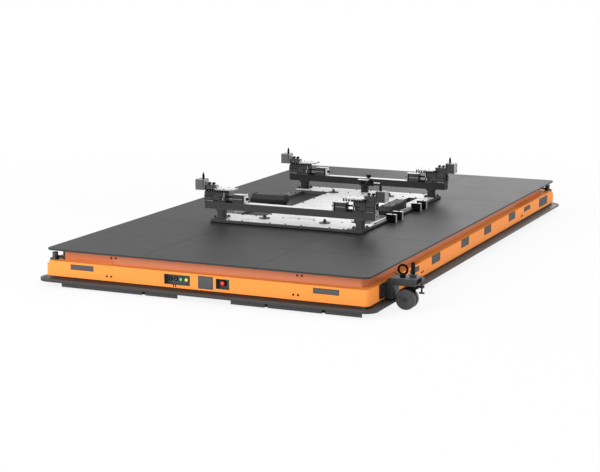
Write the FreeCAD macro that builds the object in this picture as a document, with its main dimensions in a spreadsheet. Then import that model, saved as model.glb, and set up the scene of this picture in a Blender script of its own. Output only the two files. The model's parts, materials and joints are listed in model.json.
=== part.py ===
"""Low assembly-line robot platform that carries an adjustable locating fixture on its deck."""
import FreeCAD, Part
import math
import os
import re
import Sketcher
from FreeCAD import Rotation, Vector

# Frame: X across the platform, Y along it, +Z up. The origin is on the floor under the
# middle of the deck, the operator panel faces -Y, and all sizes are in millimetres.
SIZES = {
    # How far a cutting tool runs past the face it opens
    "spill": 1, "open_end": 9,
    # Deck
    "deck_width": 3200, "deck_length": 5930, "deck_top": 350, "deck_thick": 12,
    "seam_left": -598, "seam_right": 530, "plate_end": 870, "plate_next": 870,
    "seam_gap": 3, "deck_corner": 70,
    # Skins: an upper band set back behind a deeper lower box
    "skin_bottom": 97, "ledge_top": 239, "band_inset": 85, "skin_thick": 4, "skin_flange": 60,
    "skin_corner": 40, "corner_across": 674, "corner_along": 1342, "joint_gap": 2,
    "notch_across": 158, "notch_along": 278, "nick_across": 36, "nick_along": 80, "nick_deep": 33,
    # Chassis tubes
    "tube_wide": 80, "tube_wall": 6,
    # Bumper and skirts
    "bumper_reach": 70, "bumper_bottom": 50, "bumper_thick": 25, "bumper_deep": 150,
    "bumper_side_deep": 130,
    "bumper_corner": 120, "bumper_hole": 14, "riser_wide": 40, "skirt_thick": 6, "skirt_bottom": 14,
    "skirt_set": 18, "flap_a_from": -1398, "flap_a_to": -555, "flap_b_from": -524, "flap_b_to": -199,
    "flap_c_from": 328, "flap_c_to": 656, "flap_d_from": 685, "flap_d_to": 1194, "flap_e_from": 1226,
    "flap_e_to": 1561,
    # Laser scanners
    "scanner_in": 60, "scanner_back": 74, "scanner_base": 38, "scanner_base_tall": 28,
    "scanner_radius": 26, "scanner_tall": 68, "scanner_frame": 20, "strip_lift": 14, "fork_wide": 12,
    # Operator panel
    "panel_mid": 171, "control_z": 168, "stop_z": 171, "control_x": -229, "control_wide": 253,
    "recess_tall": 86, "recess_deep": 52,
    "estop_x": 223, "estop_wide": 126, "stop_x": 210, "tray_wall": 3, "button_radius": 12.5,
    "bezel_radius": 18, "bezel_tall": 8, "button_stick": 5, "fit_gap": 0.05, "start_x": -213,
    "reset_x": -157, "key_x": -317, "socket_x": -263, "stop_head": 21, "stop_head_tall": 16,
    "stop_stem": 8, "stop_collar": 16, "stop_collar_tall": 12, "stop_travel_gap": 6,
    # Inserts in the skins
    "insert_thick": 2, "window_long": 230, "window_tall": 74, "window_mid": 199,
    "window_seam": 378, "window_inner": 371, "slot_long": 235, "slot_tall": 42, "slot_mid": 196,
    "front_slot_seam": 284, "side_slot_seam": 212, "cover_x": 56, "cover_wide": 141, "cover_tall": 108,
    # Corner sockets for the rescue caster
    "socket_end": 465, "socket_long": 350, "socket_tall": 100, "socket_mid": 172, "socket_deep": 80,
    "socket_wall": 5,
    # Energy and steering
    "battery_wide": 900, "battery_bottom": 110, "battery_top": 310,
    "mount_wide": 620, "mount_bottom": 288, "mount_thick": 14, "ring_radius": 200, "ring_tall": 12,
    "table_radius": 190, "table_thick": 16, "cheek_gap": 6, "cheek_thick": 16, "cheek_long": 150,
    "drive_radius": 115, "drive_wide": 90, "drive_axle": 18, "motor_radius": 62, "motor_long": 190,
    "hub_dish": 8, "tread_edge": 5,
    # Swivel casters
    "caster_inset": 230, "caster_end": 465, "caster_radius": 75, "caster_wide": 50, "caster_trail": 45,
    "caster_pad": 230, "pad_thick": 10, "pad_deep": 150, "swivel_radius": 55, "swivel_tall": 12,
    "fork_thick": 8, "fork_gap": 3, "fork_crown": 10, "caster_axle": 10,
    "leg_half": 16, "leg_drop": 12, "web_dish": 4, "tyre_edge": 4,
    # Fixture base: a dark frame with pans in its windows and light plates on its strips
    "base_wide": 1626, "base_long": 2336, "frame_thick": 30, "top_thick": 8, "top_inset": 6,
    "pan_thick": 4, "base_rail": 115, "front_strip": 363, "rear_strip": 291, "left_window": 315,
    "right_window": 150,
    # Crossbeams and posts
    "pin_x": 956, "pin_end": 131, "beam_half": 916, "beam_deep": 90, "beam_tall": 69,
    "beam_bottom": 476, "beam_wall": 5, "beam_cap": 4, "post_x": 750, "post_wide": 58,
    "post_deep": 100, "post_foot": 130, "post_foot_tall": 12, "post_head": 96, "post_head_tall": 14,
    # Slide drives
    "rail_in": 600, "rail_tall": 20, "rail_wide": 46, "motor_in": 484, "motor_out": 612,
    "motor_deep": 76, "motor_tall": 88, "flange_thick": 8, "flange_rise": 6, "screw_radius": 9,
    "screw_up": 56, "end_thick": 6, "end_top": 650, "end_hole": 14, "knob_radius": 24, "knob_long": 16,
    # Carriages and locating pins
    "carriage_in": 690, "carriage_out": 914, "carriage_top": 672, "carriage_deep": 96,
    "slide_gap": 0.3, "table_in": 600, "table_out": 800, "table_deep": 140, "table_tall": 12,
    "arm_tall": 38, "arm_deep": 60, "comb_left": 655, "comb_right": 590, "comb_pitch": 28,
    "comb_gap": 13, "comb_count": 8, "comb_tall": 32, "comb_deep": 12, "comb_web": 5,
    "block_inner": 32, "block_outer": 65, "block_deep": 108, "block_bottom": 660, "block_top": 765,
    "pin_radius": 12, "pin_shank": 14, "pin_seat": 700, "pin_tip": 834, "pin_cone": 30, "clamp_slit": 6,
    # Fittings on the fixture base
    "cone_x": 328, "cone_front": 243, "cone_rear": 312, "cone_disc": 56, "cone_disc_tall": 8,
    "cone_radius": 24, "cone_top": 10, "cone_tall": 40, "rest_pad_x": 10, "rest_pad_set": 28,
    "rest_pad_long": 276, "rest_pad_wide": 58, "rest_pad_tall": 10,
    "clamp_a": -430, "clamp_b": -250, "clamp_c": 300, "clamp_d": 475, "clamp_long": 40,
    "clamp_wide": 82, "clamp_top": 435, "clamp_reach": 22,
    "duct_tall": 84, "duct_slope_up": 39, "duct_slope_back": 56, "duct_foot": 60,
    "duct_left_over": 102, "duct_left_wide": 387, "duct_left_deep": 150, "duct_left_y": -45,
    "duct_right_set": 76, "duct_right_wide": 120, "duct_right_deep": 515, "duct_right_y": -225,
    "pedestal_x": -28, "pedestal_wide": 66, "head_left": -70, "head_right": 100, "head_deep": 20,
    "head_low": 470, "head_high": 532, "head_bar": 72, "head_bar_tall": 10, "lug_low": 440,
    # Rescue caster at the front right corner
    "plate_long": 440, "plate_tall": 128, "plate_mid": 178, "plate_thick": 16, "tongue_gap": 4,
    "tongue_deep": 60, "arm_reach": 277, "arm_wide": 180, "arm_z": 281, "arm_thick": 62,
    "mouth_wall": 10, "mouth_deep": 28,
    "leg_thick": 52, "leg_bottom": 92, "arm_corner": 38, "jack_x": 226,
    "jack_radius": 18, "jack_top": 417, "jack_bottom": 206, "jack_point": 10, "nut_radius": 30,
    "nut_tall": 30, "collar_radius": 40, "collar_tall": 7,
    "eye_x": 144, "eye_y": 30, "eye_ring": 41, "eye_wire": 10.5, "eye_boss": 26, "eye_boss_tall": 20,
    "eye_mid": 70, "rescue_radius": 90, "rescue_wide": 40, "rescue_web": 20,
    "rescue_trail": 51, "rescue_axle": 12, "rescue_gap": 2, "crown_radius": 52, "crown_bottom": 186,
    "lug_x": 248, "lug_wide": 34, "lug_long": 98, "lug_tall": 32, "toggle_y": 166, "toggle_radius": 8,
    "toggle_bottom": 112, "toggle_bar": 50, "toggle_bar_radius": 8, "pad_radius": 24, "pad_tall": 22,
    "pad_down": 60,
}

doc = FreeCAD.newDocument("RobotPlatform")
sheet = doc.addObject("Spreadsheet::Sheet", "dim")
for row, (alias, value) in enumerate(SIZES.items(), start=1):
    sheet.set(f"A{row}", alias)
    sheet.set(f"B{row}", str(value))
    sheet.setAlias(f"B{row}", alias)
doc.recompute()

NODES = {}


def sized(text):
    """Point every alias in an expression at the sheet."""
    def point(word):
        return "dim." + word.group() if word.group() in SIZES else word.group()
    return re.sub(r"[a-z]\w*", point, text)


def bind(item, **sizes):
    for prop, text in sizes.items():
        item.setExpression(prop, sized(text))
    return item


def place(item, x="0", y="0", z="0"):
    for axis, text in zip("xyz", (x, y, z)):
        item.setExpression("Placement.Base." + axis, sized(text))
    return item


# Part primitives, each placed by the centre of its foot
def block(x, y, z, across, along, tall):
    item = bind(doc.addObject("Part::Box", "Block"), Length=across, Width=along, Height=tall)
    return place(item, f"{x} - ({across}) / 2", f"{y} - ({along}) / 2", z)


TURNS = {"z": Rotation(), "x": Rotation(Vector(0, 1, 0), 90), "y": Rotation(Vector(1, 0, 0), -90)}


def rod(x, y, z, radius, length, axis="z"):
    item = bind(doc.addObject("Part::Cylinder", "Rod"), Radius=radius, Height=length)
    item.Placement = FreeCAD.Placement(Vector(), TURNS[axis])
    return place(item, x, y, z)


def cone(x, y, z, foot, top, tall):
    item = bind(doc.addObject("Part::Cone", "Taper"), Radius1=foot, Radius2=top, Height=tall)
    return place(item, x, y, z)


def fuse(*items):
    item = doc.addObject("Part::MultiFuse", "Joined")
    item.Shapes = list(items)
    return item


def cut(base, *tools):
    item = doc.addObject("Part::Cut", "Trimmed")
    item.Base = base
    item.Tool = tools[0] if len(tools) == 1 else fuse(*tools)
    return item


def group(*items):
    item = doc.addObject("Part::Compound", "Set")
    item.Links = list(items)
    return item


def node(name, item):
    item.Label = name
    NODES[name] = item
    return item


# PartDesign helpers
def new_body(name):
    return doc.addObject("PartDesign::Body", name)


def outline(sketch, points):
    """Draw a closed outline whose corners are held by expressions."""
    count = len(points)
    start = [Vector(99 * math.cos(math.tau * i / count), 99 * math.sin(math.tau * i / count), 0)
             for i in range(count)]
    first = sketch.GeometryCount
    for i in range(count):
        sketch.addGeometry(Part.LineSegment(start[i], start[(i + 1) % count]), False)
    for i in range(count):
        sketch.addConstraint(Sketcher.Constraint("Coincident", first + i, 2, first + (i + 1) % count, 1))
    for i, corner in enumerate(points):
        for kind, text, value in zip(("DistanceX", "DistanceY"), corner, start[i]):
            index = sketch.addConstraint(Sketcher.Constraint(kind, -1, 1, first + i, 1, value))
            sketch.setExpression(f"Constraints[{index}]", sized(text))


def sketch_on(body, plane, points, offset="0"):
    sketch = body.newObject("Sketcher::SketchObject", "Outline")
    support = next(item for item in body.Origin.OriginFeatures if item.Role == plane)
    sketch.AttachmentSupport = [(support, "")]
    sketch.MapMode = "FlatFace"
    sketch.setExpression("AttachmentOffset.Base.z", sized(offset))
    outline(sketch, points)
    return sketch


def pad(body, sketch, length, both=False):
    item = body.newObject("PartDesign::Pad", "Pad")
    item.Profile = sketch
    item.Midplane = both
    return bind(item, Length=length)


def round_edges(body, base, wanted, radius):
    """Fillet the edges of the newest feature whose middle passes the test."""
    doc.recompute()
    names = []
    for i, edge in enumerate(base.Shape.Edges, start=1):
        middle = edge.valueAt((edge.FirstParameter + edge.LastParameter) / 2)
        if wanted(edge, middle):
            names.append(f"Edge{i}")
    item = body.newObject("PartDesign::Fillet", "Round")
    item.Base = (base, names)
    return bind(item, Radius=radius)


def is_upright(edge):
    ends = [vertex.Point for vertex in edge.Vertexes]
    return len(ends) == 2 and abs(ends[0].z - ends[1].z) > 0.9 * edge.Length


def rectangle(x0, y0, x1, y1):
    return [(x0, y0), (x1, y0), (x1, y1), (x0, y1)]


def slab(x0, y0, x1, y1, z, tall, rounded, radius):
    """A flat block whose upright edges at the given corners are rounded."""
    body = new_body("Slab")
    solid = pad(body, sketch_on(body, "XY_Plane", rectangle(x0, y0, x1, y1), z), tall)
    doc.recompute()
    box = solid.Shape.BoundBox
    spots = {"left": box.XMin, "right": box.XMax, "front": box.YMin, "rear": box.YMax}
    ends = [(spots[a], spots[b]) for a, b in rounded]

    def wanted(edge, middle):
        return is_upright(edge) and any(abs(middle.x - x) + abs(middle.y - y) < 0.01 for x, y in ends)
    round_edges(body, solid, wanted, radius)
    return body


def turned(points, axis="z"):
    """A solid of revolution about its own Z, laid along another axis where asked."""
    body = new_body("Turning")
    item = body.newObject("PartDesign::Revolution", "Turned")
    item.Profile = sketch_on(body, "XZ_Plane", points)
    item.ReferenceAxis = (item.Profile[0], ["V_Axis"])
    item.Angle = 360
    body.Placement = FreeCAD.Placement(Vector(), TURNS[axis])
    return body


SIDES = {"left": -1, "right": 1}
ENDS = {"front": -1, "rear": 1}
HALF_WIDE = "deck_width / 2"
HALF_LONG = "deck_length / 2"
DECK_BOTTOM = "deck_top - deck_thick"
SEAM_OUTER = "(deck_length / 2 - plate_end)"
SEAM_INNER = "(deck_length / 2 - plate_end - plate_next)"
STEER_Y = "(deck_length / 2 - plate_end - plate_next / 2)"
FRONT_SEAM = "(deck_width / 2 - corner_across)"
SIDE_SEAM = "(deck_length / 2 - corner_along)"
SOCKET_Y = "(deck_length / 2 - socket_end)"
CASTER_X = "(deck_width / 2 - caster_inset)"
CASTER_Y = "(deck_length / 2 - caster_end)"
PANEL_Y = "(-deck_length / 2 + recess_deep)"
TUBE_TALL = "(deck_top - deck_thick - ledge_top)"
TUBE_OUT = "(deck_width / 2 - band_inset - skin_thick)"
TUBE_END = "(deck_length / 2 - band_inset - skin_thick)"


# Deck plates, three across and five along, with a narrow seam between them
def make_deck():
    columns = ["-" + HALF_WIDE, "seam_left", "seam_right", HALF_WIDE]
    rows = ["-" + HALF_LONG, "-" + SEAM_OUTER, "-" + SEAM_INNER, SEAM_INNER, SEAM_OUTER, HALF_LONG]
    corners = {(0, 0): ("left", "front"), (2, 0): ("right", "front"), (0, 4): ("left", "rear"),
               (2, 4): ("right", "rear")}
    plates = []
    for i in range(3):
        x0 = columns[i] + (" + seam_gap / 2" if i > 0 else "")
        x1 = columns[i + 1] + (" - seam_gap / 2" if i < 2 else "")
        for j in range(5):
            y0 = rows[j] + (" + seam_gap / 2" if j > 0 else "")
            y1 = rows[j + 1] + (" - seam_gap / 2" if j < 4 else "")
            if (i, j) in corners:
                plates.append(slab(x0, y0, x1, y1, DECK_BOTTOM, "deck_thick", [corners[i, j]], "deck_corner"))
            else:
                plates.append(block(f"(({x0}) + ({x1})) / 2", f"(({y0}) + ({y1})) / 2", DECK_BOTTOM,
                                    f"({x1}) - ({x0})", f"({y1}) - ({y0})", "deck_thick"))
    node("deck_plates", group(*plates))


# Chassis: two longerons and five cross members, all rectangular tube
def tube(x, y, across, along, runs_along_y):
    outer = block(x, y, "ledge_top", across, along, TUBE_TALL)
    if runs_along_y:
        core = block(x, y, "ledge_top + tube_wall", f"{across} - 2 * tube_wall", f"{along} + 2 * spill",
                     TUBE_TALL + " - 2 * tube_wall")
    else:
        core = block(x, y, "ledge_top + tube_wall", f"{across} + 2 * spill", f"{along} - 2 * tube_wall",
                     TUBE_TALL + " - 2 * tube_wall")
    return cut(outer, core)


def make_chassis():
    for side, sign in SIDES.items():
        # The scanner notch shortens each longeron at one end, the band's rounded corner at the other
        short = "(notch_along - band_inset - skin_thick)"
        middle = f"{-sign} * ({short} - skin_corner / 2) / 2"
        length = f"2 * {TUBE_END} - {short} - skin_corner / 2"
        beam = tube(f"{sign} * ({TUBE_OUT} - tube_wide / 2)", middle, "tube_wide", length, True)
        pads = [block(f"{sign} * ({TUBE_OUT} - caster_pad / 2)", f"{end} * {CASTER_Y}",
                      "ledge_top - pad_thick", "caster_pad", "pad_deep", "pad_thick")
                for end in ENDS.values()]
        rings = [rod(f"{sign} * {CASTER_X}", f"{end} * {CASTER_Y}", "ledge_top - pad_thick - swivel_tall",
                     "swivel_radius", "swivel_tall") for end in ENDS.values()]
        node(f"longeron_{side}", fuse(beam, *pads, *rings))
    inner = f"2 * ({TUBE_OUT} - tube_wide)"
    node("cross_member_middle", tube("0", "0", inner, "tube_wide", False))
    for end, sign in ENDS.items():
        node(f"cross_member_inner_{end}", tube("0", f"{sign} * {SEAM_INNER}", inner, "tube_wide", False))
        outer = tube("0", f"{sign} * {SEAM_OUTER}", inner, "tube_wide", False)
        mount = block("0", f"{sign} * ({SEAM_OUTER} + {SEAM_INNER}) / 2", "mount_bottom", "mount_wide",
                      "plate_next - tube_wide", "mount_thick")
        ring = rod("0", f"{sign} * {STEER_Y}", "mount_bottom - ring_tall", "ring_radius", "ring_tall")
        node(f"cross_member_outer_{end}", fuse(outer, mount, ring))


# Folded side skins: lower wall, ledge, set-back band and bottom flange in one section
def skin_section(sign):
    inset = "band_inset"
    points = [("0", "skin_bottom"), ("0", "ledge_top"), (inset, "ledge_top"), (inset, DECK_BOTTOM),
              (inset + " + skin_thick", DECK_BOTTOM), (inset + " + skin_thick", "ledge_top - skin_thick"),
              ("skin_thick", "ledge_top - skin_thick"), ("skin_thick", "skin_bottom + skin_thick"),
              ("skin_flange", "skin_bottom + skin_thick"), ("skin_flange", "skin_bottom")]
    return [(f"{-sign} * ({x})", z) for x, z in points]


def recess_hole(x, wide):
    return block(x, f"-{HALF_LONG}", "panel_mid - recess_tall / 2 - tray_wall", f"{wide} + 2 * tray_wall",
                 "4 * skin_thick", "recess_tall + 2 * tray_wall")


def make_straight_skins():
    for side, sign in SIDES.items():
        body = new_body("SideSkin")
        length = f"2 * {SIDE_SEAM} - joint_gap"
        pad(body, sketch_on(body, "XZ_Plane", skin_section(sign)), length, both=True)
        node(f"side_skin_{side}", place(body, f"{sign} * {HALF_WIDE}"))
    for end, sign in ENDS.items():
        body = new_body("EndSkin")
        length = f"2 * {FRONT_SEAM} - joint_gap"
        pad(body, sketch_on(body, "YZ_Plane", skin_section(sign)), length, both=True)
        place(body, "0", f"{sign} * {HALF_LONG}")
        if end == "front":
            body = cut(body, recess_hole("control_x", "control_wide"), recess_hole("estop_x", "estop_wide"))
        node(f"end_skin_{end}", body)


def corner_block(sx, sy, inset, z, tall, radius, spill="0"):
    """A block from the skin seams out to the corner, drawn in by an inset and rounded outside."""
    x0 = f"{sx} * ({FRONT_SEAM} + joint_gap / 2 - {spill})"
    y0 = f"{sy} * ({SIDE_SEAM} + joint_gap / 2 - {spill})"
    x1 = f"{sx} * ({HALF_WIDE} - ({inset}))"
    y1 = f"{sy} * ({HALF_LONG} - ({inset}))"
    corner = ("left" if sx < 0 else "right", "front" if sy < 0 else "rear")
    return slab(x0, y0, x1, y1, z, tall, [corner], radius)


def make_corner_skins():
    wall = "skin_thick"
    for side, sx in SIDES.items():
        for end, sy in ENDS.items():
            # Lower box: outer walls with a ledge above and a flange below
            lower = corner_block(sx, sy, "0", "skin_bottom", "ledge_top - skin_bottom", "skin_corner")
            hollow = corner_block(sx, sy, wall, "skin_bottom + skin_thick",
                                  "ledge_top - skin_bottom - 2 * skin_thick", "skin_corner - skin_thick",
                                  "open_end")
            bottom = corner_block(sx, sy, "skin_flange", "skin_bottom - spill", "skin_thick + 2 * spill",
                                  "joint_gap", "open_end")
            top = corner_block(sx, sy, "band_inset + skin_thick", "ledge_top - skin_thick - spill",
                               "skin_thick + 2 * spill", "joint_gap", "open_end")
            band = corner_block(sx, sy, "band_inset", "ledge_top - skin_thick",
                                f"{TUBE_TALL} + skin_thick", "skin_corner / 2")
            inside = corner_block(sx, sy, "band_inset + skin_thick", "ledge_top - skin_thick - spill",
                                  f"{TUBE_TALL} + skin_thick + 2 * spill", "skin_corner / 2 - skin_thick",
                                  "open_end")
            parts = [cut(lower, hollow, bottom, top), cut(band, inside)]
            if sx == sy:
                # A nick in the lower box's corner, lined by the walls that stay round it
                nick, lining = [block(f"{sx} * ({HALF_WIDE} - (nick_across + {more}) / 2)",
                                      f"{sy} * ({HALF_LONG} - (nick_along + {more}) / 2)",
                                      f"ledge_top - nick_deep - {more}", f"nick_across + {more}",
                                      f"nick_along + {more}", f"nick_deep + {more} + spill")
                                for more in ("0", "skin_thick")]
                parts[0] = cut(lower, cut(hollow, lining), bottom, top, nick)
                # The scanner stands in this corner: the band stops short and the ledge is plated
                notch = block(f"{sx} * ({HALF_WIDE} - notch_across / 2)",
                              f"{sy} * ({HALF_LONG} - notch_along / 2)", "ledge_top", "notch_across",
                              "notch_along", TUBE_TALL + " + spill")
                floor = block(f"{sx} * ({HALF_WIDE} - band_inset / 2 - notch_across / 2)",
                              f"{sy} * ({HALF_LONG} - band_inset / 2 - notch_along / 2)",
                              "ledge_top - skin_thick", "notch_across - band_inset",
                              "notch_along - band_inset", "skin_thick")
                parts = [parts[0], cut(parts[1], notch), cut(floor, nick)]
            # Socket for the rescue caster's tongue, open to the side
            face = f"{sx} * ({HALF_WIDE} - socket_deep / 2)"
            at_y = f"{sy} * {SOCKET_Y}"
            shell = block(face, at_y, "socket_mid - socket_tall / 2 - socket_wall", "socket_deep",
                          "socket_long + 2 * socket_wall", "socket_tall + 2 * socket_wall")
            mouth = block(f"{face} + {sx} * socket_wall", at_y, "socket_mid - socket_tall / 2",
                          "socket_deep", "socket_long", "socket_tall")
            node(f"corner_skin_{end}_{side}", cut(fuse(*parts, shell), mouth))


# Bumper: a flat plate all round with rounded corners, on a riser below the skins
def make_bumpers():
    out_x = f"({HALF_WIDE} + bumper_reach)"
    out_y = f"({HALF_LONG} + bumper_reach)"
    top = "bumper_bottom + bumper_thick"
    riser_tall = "skin_bottom - bumper_bottom - bumper_thick"
    skirts = [(f"flap_{letter}_from", f"flap_{letter}_to") for letter in "abcde"]
    for end, sign in ENDS.items():
        rim = [("left", end), ("right", end)]
        plate = slab(f"-{out_x}", f"{sign} * {out_y}", out_x, f"{sign} * ({out_y} - bumper_deep)",
                     "bumper_bottom", "bumper_thick", rim, "bumper_corner")
        riser = block("0", f"{sign} * ({HALF_LONG} - skin_flange / 2)", top, f"2 * ({HALF_WIDE} - skin_corner)",
                      "riser_wide", riser_tall)
        holes = [rod(f"{s} * {HALF_WIDE}", f"{sign} * {HALF_LONG}", "bumper_bottom - spill", "bumper_hole",
                     "bumper_thick + 2 * spill") for s in (-1, 1)]
        flaps = [block(f"{-sign} * ({a} + {b}) / 2", f"{sign} * ({out_y} - skirt_set)", "skirt_bottom",
                       f"{b} - ({a})", "skirt_thick", "bumper_bottom - skirt_bottom") for a, b in skirts]
        node(f"bumper_{end}", fuse(cut(plate, *holes), riser, *flaps))
    for side, sign in SIDES.items():
        length = f"2 * ({out_y} - bumper_deep)"
        plate = block(f"{sign} * ({out_x} - bumper_side_deep / 2)", "0", "bumper_bottom", "bumper_side_deep",
                      length, "bumper_thick")
        riser = block(f"{sign} * ({HALF_WIDE} - skin_flange / 2)", "0", top, "riser_wide", length, riser_tall)
        node(f"bumper_{side}", fuse(plate, riser))


# Laser scanners on the plated ledges of two opposite corners
def make_scanners():
    for name, sign in (("front_left", -1), ("rear_right", 1)):
        x = f"{sign} * ({HALF_WIDE} - scanner_in)"
        y = f"{sign} * ({HALF_LONG} - scanner_back)"
        foot = cone(x, y, "ledge_top", "scanner_base", "scanner_radius", "scanner_base_tall")
        head = rod(x, y, "ledge_top", "scanner_radius", "scanner_tall")
        frame_y = f"{sign} * ({HALF_LONG} - band_inset - scanner_frame / 2)"
        post = block(f"{sign} * ({HALF_WIDE} - notch_across + scanner_frame / 2)", frame_y, "ledge_top",
                     "scanner_frame", "scanner_frame", TUBE_TALL)
        strip = block(f"{sign} * ({HALF_WIDE} - notch_across / 2 - scanner_in / 2)", frame_y,
                      "ledge_top + strip_lift", "notch_across - scanner_in", "scanner_frame", "scanner_frame")
        # Forked bracket that stands in the nick and holds the scanner's foot
        stem_x = f"({sign} * ({HALF_WIDE} - nick_across / 2))"
        stem_y = f"{sign} * ({HALF_LONG} - nick_along + fork_wide + joint_gap)"
        stem = block(stem_x, stem_y, "ledge_top - nick_deep", "fork_wide", "fork_wide", "nick_deep + strip_lift")
        sole = block(stem_x, stem_y, "ledge_top - nick_deep", "nick_across - joint_gap", "2 * fork_wide",
                     "fork_wide / 2")
        prong = block(f"({stem_x} + {x}) / 2", stem_y, "ledge_top", "scanner_in - nick_across / 2", "fork_wide",
                      "strip_lift")
        node(f"laser_scanner_{name}", fuse(foot, head, post, strip, stem, sole, prong))


# Operator panel: two recessed trays with their controls
def tray(x, wide):
    outer = block(x, f"-{HALF_LONG} + (recess_deep + tray_wall) / 2", "panel_mid - recess_tall / 2 - tray_wall",
                  f"{wide} + 2 * tray_wall", "recess_deep + tray_wall", "recess_tall + 2 * tray_wall")
    inner = block(x, f"-{HALF_LONG} + recess_deep / 2 - spill", "panel_mid - recess_tall / 2", wide,
                  "recess_deep + 2 * spill", "recess_tall")
    return cut(outer, inner)


def make_operator_panel():
    pieces = [tray("control_x", "control_wide"), tray("estop_x", "estop_wide")]
    bores = []
    for x in ("start_x", "reset_x", "key_x"):
        pieces.append(rod(x, f"{PANEL_Y} - bezel_tall", "control_z", "bezel_radius", "bezel_tall", "y"))
        bores.append(rod(x, f"{PANEL_Y} - bezel_tall - spill", "control_z", "button_radius + fit_gap",
                         "bezel_tall + tray_wall + 2 * spill", "y"))
    pieces.append(rod("socket_x", f"{PANEL_Y} - bezel_tall", "control_z", "bezel_radius", "bezel_tall", "y"))
    pieces.append(rod("stop_x", f"{PANEL_Y} - stop_collar_tall", "stop_z", "stop_collar",
                      "stop_collar_tall", "y"))
    bores.append(rod("stop_x", f"{PANEL_Y} - stop_collar_tall - spill", "stop_z", "stop_stem + fit_gap",
                     "stop_collar_tall + tray_wall + 2 * spill", "y"))
    node("operator_trays", cut(fuse(*pieces), *bores))
    for name, x in (("start_button", "start_x"), ("reset_button", "reset_x")):
        node(name, rod(x, f"{PANEL_Y} - bezel_tall - button_stick", "control_z", "button_radius",
                       "bezel_tall + button_stick + tray_wall", "y"))
    barrel = rod("key_x", f"{PANEL_Y} - bezel_tall - button_stick", "control_z", "button_radius",
                 "bezel_tall + button_stick + tray_wall", "y")
    slot = block("key_x", f"{PANEL_Y} - bezel_tall - button_stick", "control_z - button_radius / 2",
                 "button_radius / 4", "button_radius", "button_radius")
    node("key_switch", cut(barrel, slot))
    # Mushroom head: a domed disc on a stem, turned about the push direction
    tall = "stop_head_tall"
    reach = "(stop_collar_tall + stop_travel_gap)"
    profile = [("0", "-tray_wall"), ("stop_stem", "-tray_wall"), ("stop_stem", reach),
               ("stop_head", reach), ("stop_head", f"{reach} + {tall} / 2"),
               ("stop_head * 0.85", f"{reach} + {tall} * 0.82"), ("stop_head * 0.5", f"{reach} + {tall}"),
               ("0", f"{reach} + {tall}")]
    head = turned(profile)
    head.Placement = FreeCAD.Placement(Vector(), Rotation(Vector(1, 0, 0), 90))
    node("stop_button", place(head, "stop_x", PANEL_Y, "stop_z"))


# Flush inserts: sensor windows, slot covers and the bare cover beside the stop button
def make_inserts():
    plates = []
    out_x = f"({HALF_WIDE} + insert_thick / 2)"
    out_y = f"({HALF_LONG} + insert_thick / 2)"
    for sx in SIDES.values():
        for sy in ENDS.values():
            for y in (f"({SIDE_SEAM} - window_seam)", "window_inner"):
                plates.append(block(f"{sx} * {out_x}", f"{sy} * {y}", "window_mid - window_tall / 2",
                                    "insert_thick", "window_long", "window_tall"))
            slot_foot = "slot_mid - slot_tall / 2"
            plates.append(block(f"{sx} * {out_x}", f"{sy} * ({SIDE_SEAM} + side_slot_seam)", slot_foot,
                                "insert_thick", "slot_long", "slot_tall"))
            plates.append(block(f"{sx} * ({FRONT_SEAM} + front_slot_seam)", f"{sy} * {out_y}", slot_foot,
                                "slot_long", "insert_thick", "slot_tall"))
    plates.append(block("cover_x", f"-{out_y}", "panel_mid - cover_tall / 2", "cover_wide", "insert_thick",
                        "cover_tall"))
    node("skin_inserts", group(*plates))


def make_battery():
    bay = f"({SEAM_INNER} - tube_wide)"
    node("battery_pack", block("0", f"-{SEAM_INNER} / 2", "battery_bottom", "battery_wide", bay,
                               "battery_top - battery_bottom"))


def tread_wheel(radius, width, bore, dish, edge):
    """A dished wheel with a rounded tread, turned about its axle."""
    half = f"{width} / 2"
    side = [(bore, half), (f"{radius} * 0.4", half), (f"{radius} * 0.45", f"{half} - {dish}"),
            (f"{radius} * 0.72", f"{half} - {dish}"), (f"{radius} * 0.78", half), (f"{radius} - {edge}", half),
            (radius, f"{half} - {edge}")]
    return turned(side + [(r, f"-({z})") for r, z in reversed(side)], "x")


# Steered drive units between the outer pairs of cross members
def make_drive_units():
    top = "(mount_bottom - ring_tall)"
    cheek_x = "(drive_wide / 2 + cheek_gap + cheek_thick / 2)"
    for end, sign in ENDS.items():
        y = f"{sign} * {STEER_Y}"
        table = rod("0", y, f"{top} - table_thick", "table_radius", "table_thick")
        cheeks = [block(f"{s} * {cheek_x}", y, "drive_radius - cheek_long / 3", "cheek_thick", "cheek_long",
                        f"{top} - table_thick - drive_radius + cheek_long / 3") for s in (-1, 1)]
        axle = rod(f"-{cheek_x}", y, "drive_radius", "drive_axle", f"2 * {cheek_x}", "x")
        motor = rod(f"{cheek_x}", y, "drive_radius", "motor_radius", "motor_long", "x")
        node(f"steer_unit_{end}", fuse(table, *cheeks, axle, motor))
        wheel = tread_wheel("drive_radius", "drive_wide", "(drive_axle + fit_gap)", "hub_dish", "tread_edge")
        node(f"drive_wheel_{end}", place(wheel, "0", y, "drive_radius"))


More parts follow.
